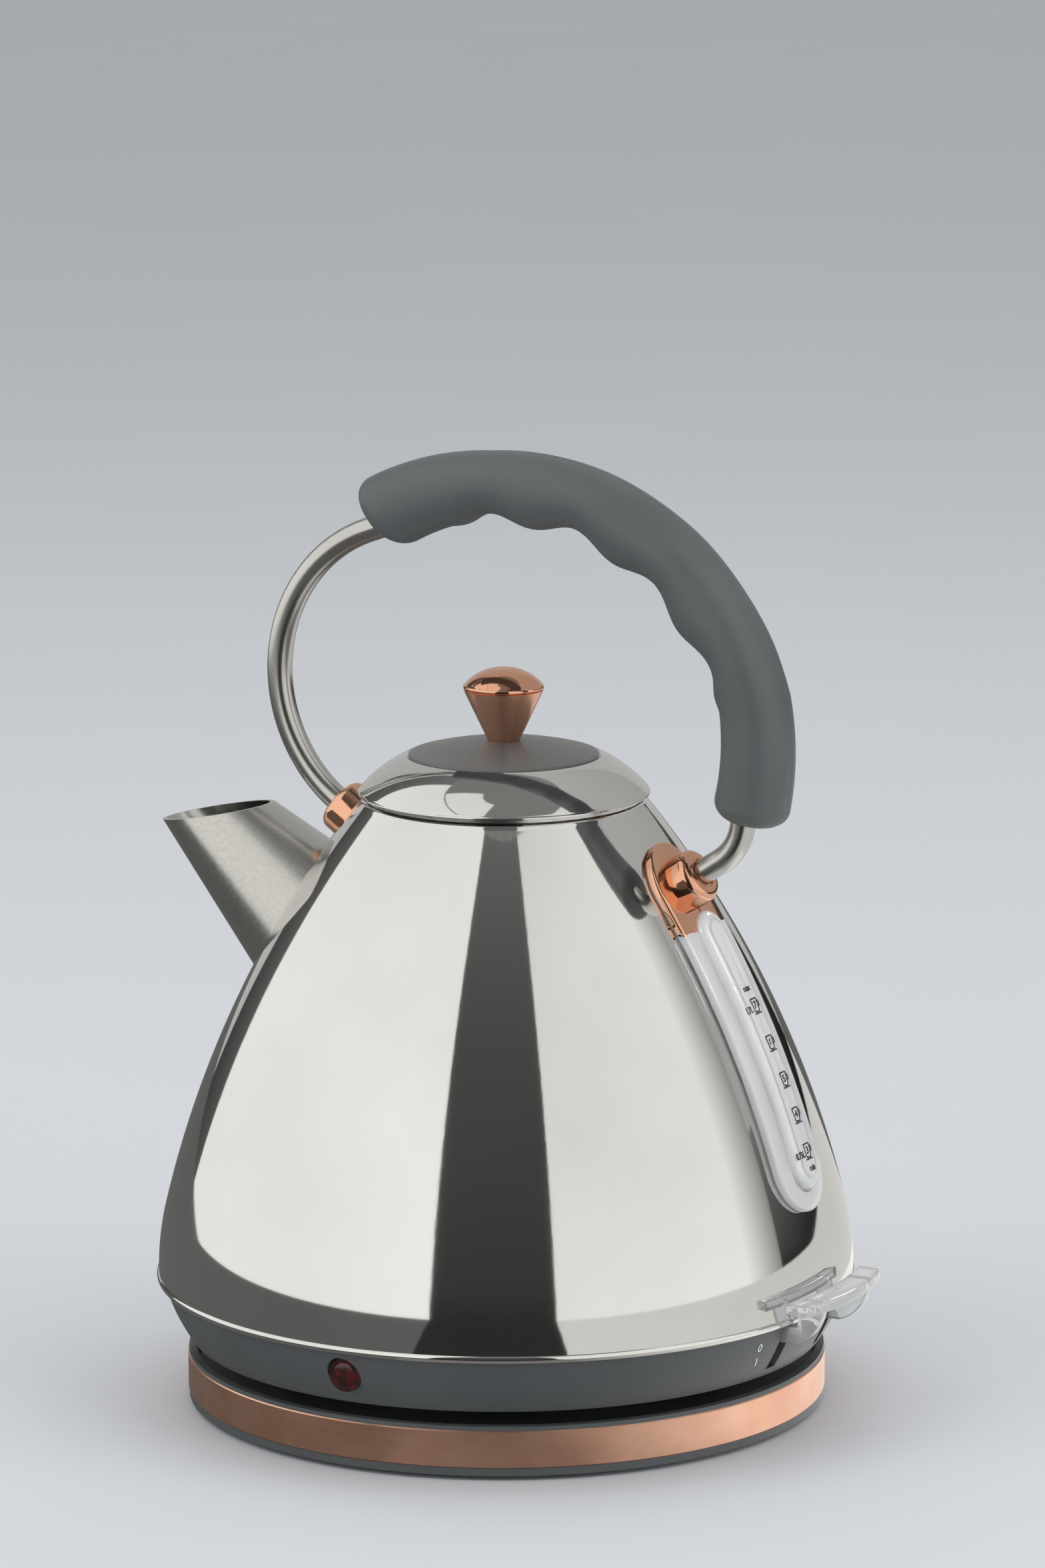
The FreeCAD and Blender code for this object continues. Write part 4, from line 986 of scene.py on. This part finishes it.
def panel(name, angle, distance, height, width, tall, power, aim=0.12):
    light = bpy.data.lights.new(name, "AREA")
    light.shape = "RECTANGLE"
    light.size, light.size_y, light.energy = width, tall, power
    obj = bpy.data.objects.new(name, light)
    obj.location = bearing(angle) * distance + Vector((0, 0, height))
    obj.rotation_euler = (Vector((0, 0, aim)) - obj.location).to_track_quat("-Z", "Y").to_euler()
    obj.visible_camera = obj.visible_glossy = False
    bpy.context.scene.collection.objects.link(obj)
    return obj


def sparkle(name, angle, distance, height, size, power, *pieces):
    """A small lamp whose glint shows only on the named pieces."""
    lamp = panel(name, angle, distance, height, size, size, power)
    lamp.visible_glossy = True
    shown = bpy.data.collections.new(name + "_pieces")
    for piece in pieces:
        shown.objects.link(bpy.data.objects[piece])
    lamp.light_linking.receiver_collection = shown


def world(strength):
    scene_world = bpy.data.worlds.new("studio")
    scene_world.use_nodes = True
    background = scene_world.node_tree.nodes["Background"]
    background.inputs["Color"].default_value = (0.98, 0.99, 1.0, 1.0)
    background.inputs["Strength"].default_value = strength
    bpy.context.scene.world = scene_world


def camera():
    data = bpy.data.cameras.new("camera")
    data.lens, data.sensor_width = CAMERA_LENS, SENSOR
    obj = bpy.data.objects.new("camera", data)
    obj.location = CAMERA_PLACE
    turn = Matrix.Rotation(math.radians(CAMERA_AZIMUTH - CAMERA_SWING), 4, "Z")
    turn = turn @ Matrix.Rotation(math.radians(90 - CAMERA_PITCH), 4, "X")
    obj.rotation_euler = (turn @ Matrix.Rotation(math.radians(-CAMERA_ROLL), 4, "Z")).to_euler()
    bpy.context.scene.collection.objects.link(obj)
    bpy.context.scene.camera = obj


floor()
world(strength=0.55)
panel("left_panel", angle=-62, distance=1.6, height=0.95, width=1.7, tall=1.9, power=11.0)
panel("right_panel", angle=58, distance=1.6, height=0.95, width=1.7, tall=1.9, power=11.0)
panel("top_panel", angle=180, distance=0.5, height=1.9, width=2.0, tall=1.4, power=10.0)
clear_pieces = ("switch_paddle", "gauge_flange", "gauge_bead")
for name, angle, height in (("left_glint", -35, 1.3), ("right_glint", 75, 1.0), ("rear_glint", 140, 1.0)):
    sparkle(name, angle, GLINT_DISTANCE, height, GLINT_SIZE, GLINT_POWER, *clear_pieces)
warm, grey = glow("warm_glow", (1.0, 0.995, 0.965)), glow("grey_glow", (1.0, 0.997, 0.98))
foot, low_head, head = [(CARD_DISTANCE, level) for level in (0.0, CARD_SPLIT, CARD_TOP)]
card("left_bright", LEFT_START, DARK_START, foot, head, warm, (1.0, 1.08), (0.9, 1.0))
card("front_dark", DARK_START, DARK_END, foot, head, grey, (0.03, 0.03), (0.16, 0.16))
card("right_bright", DARK_END, FADE_START, foot, head, warm, (0.95, 1.05), (0.8, 0.8))
card("right_fade", FADE_START, FADE_END, foot, head, warm, (1.05, 0.3), (0.8, 0.5))
card("right_dark", FADE_END, REAR_START, foot, low_head, grey, (0.02, 0.01), (0.2, 0.06))
card("right_upper", FADE_END, REAR_START, low_head, head, grey, (0.45, 0.4), (0.5, 0.5))
card("rear_wall", REAR_START, REAR_END + 360, foot, head, grey, (0.5, 0.5), (0.5, 0.5))
card("left_dark", REAR_END, LEFT_START, foot, head, grey, (0.05, 0.1), (0.2, 0.2))
# The dark floor cards are painted shade: they are the shaded floor that the mirror finish shows at the left
# and front
card("floor_left", REAR_START - 360, DARK_START, (0.0, 0.0), foot, grey, (0.13, 0.13), (0.13, 0.13))
card("floor_front", DARK_START, DARK_END, (0.0, 0.0), foot, grey, (0.03, 0.03), (0.03, 0.03))
card("floor_right", DARK_END, REAR_START, (0.0, 0.0), foot, warm, (0.75, 0.7), (0.75, 0.7))
near_in, near_out = (0.0, NEAR_LEVEL), (NEAR_REACH, NEAR_LEVEL)
# The dark near cards are painted shade: the same shaded floor close to the kettle, for the band and collar to
# reflect
card("near_left", REAR_START - 360, DARK_START, near_in, near_out, grey, (0.13, 0.13), (0.13, 0.13))
card("near_front", DARK_START, DARK_END, near_in, near_out, grey, (0.2, 0.2), (0.2, 0.2))
card("near_turn", DARK_END, NEAR_TURN, near_in, near_out, warm, (0.25, 1.0), (0.25, 1.0))
card("near_right", NEAR_TURN, REAR_START, near_in, near_out, warm, (1.0, 1.0), (1.0, 1.0))
card("ceiling", -180, 180, head, (0.0, CARD_TOP), grey, (0.23, 0.23), (0.23, 0.23))
card("ceiling_panel", -115, -30, (0.5, 3.2), (1.5, 3.2), warm, (0.85, 0.85), (0.9, 0.9))
camera()
bpy.context.scene.view_settings.view_transform = "Standard"
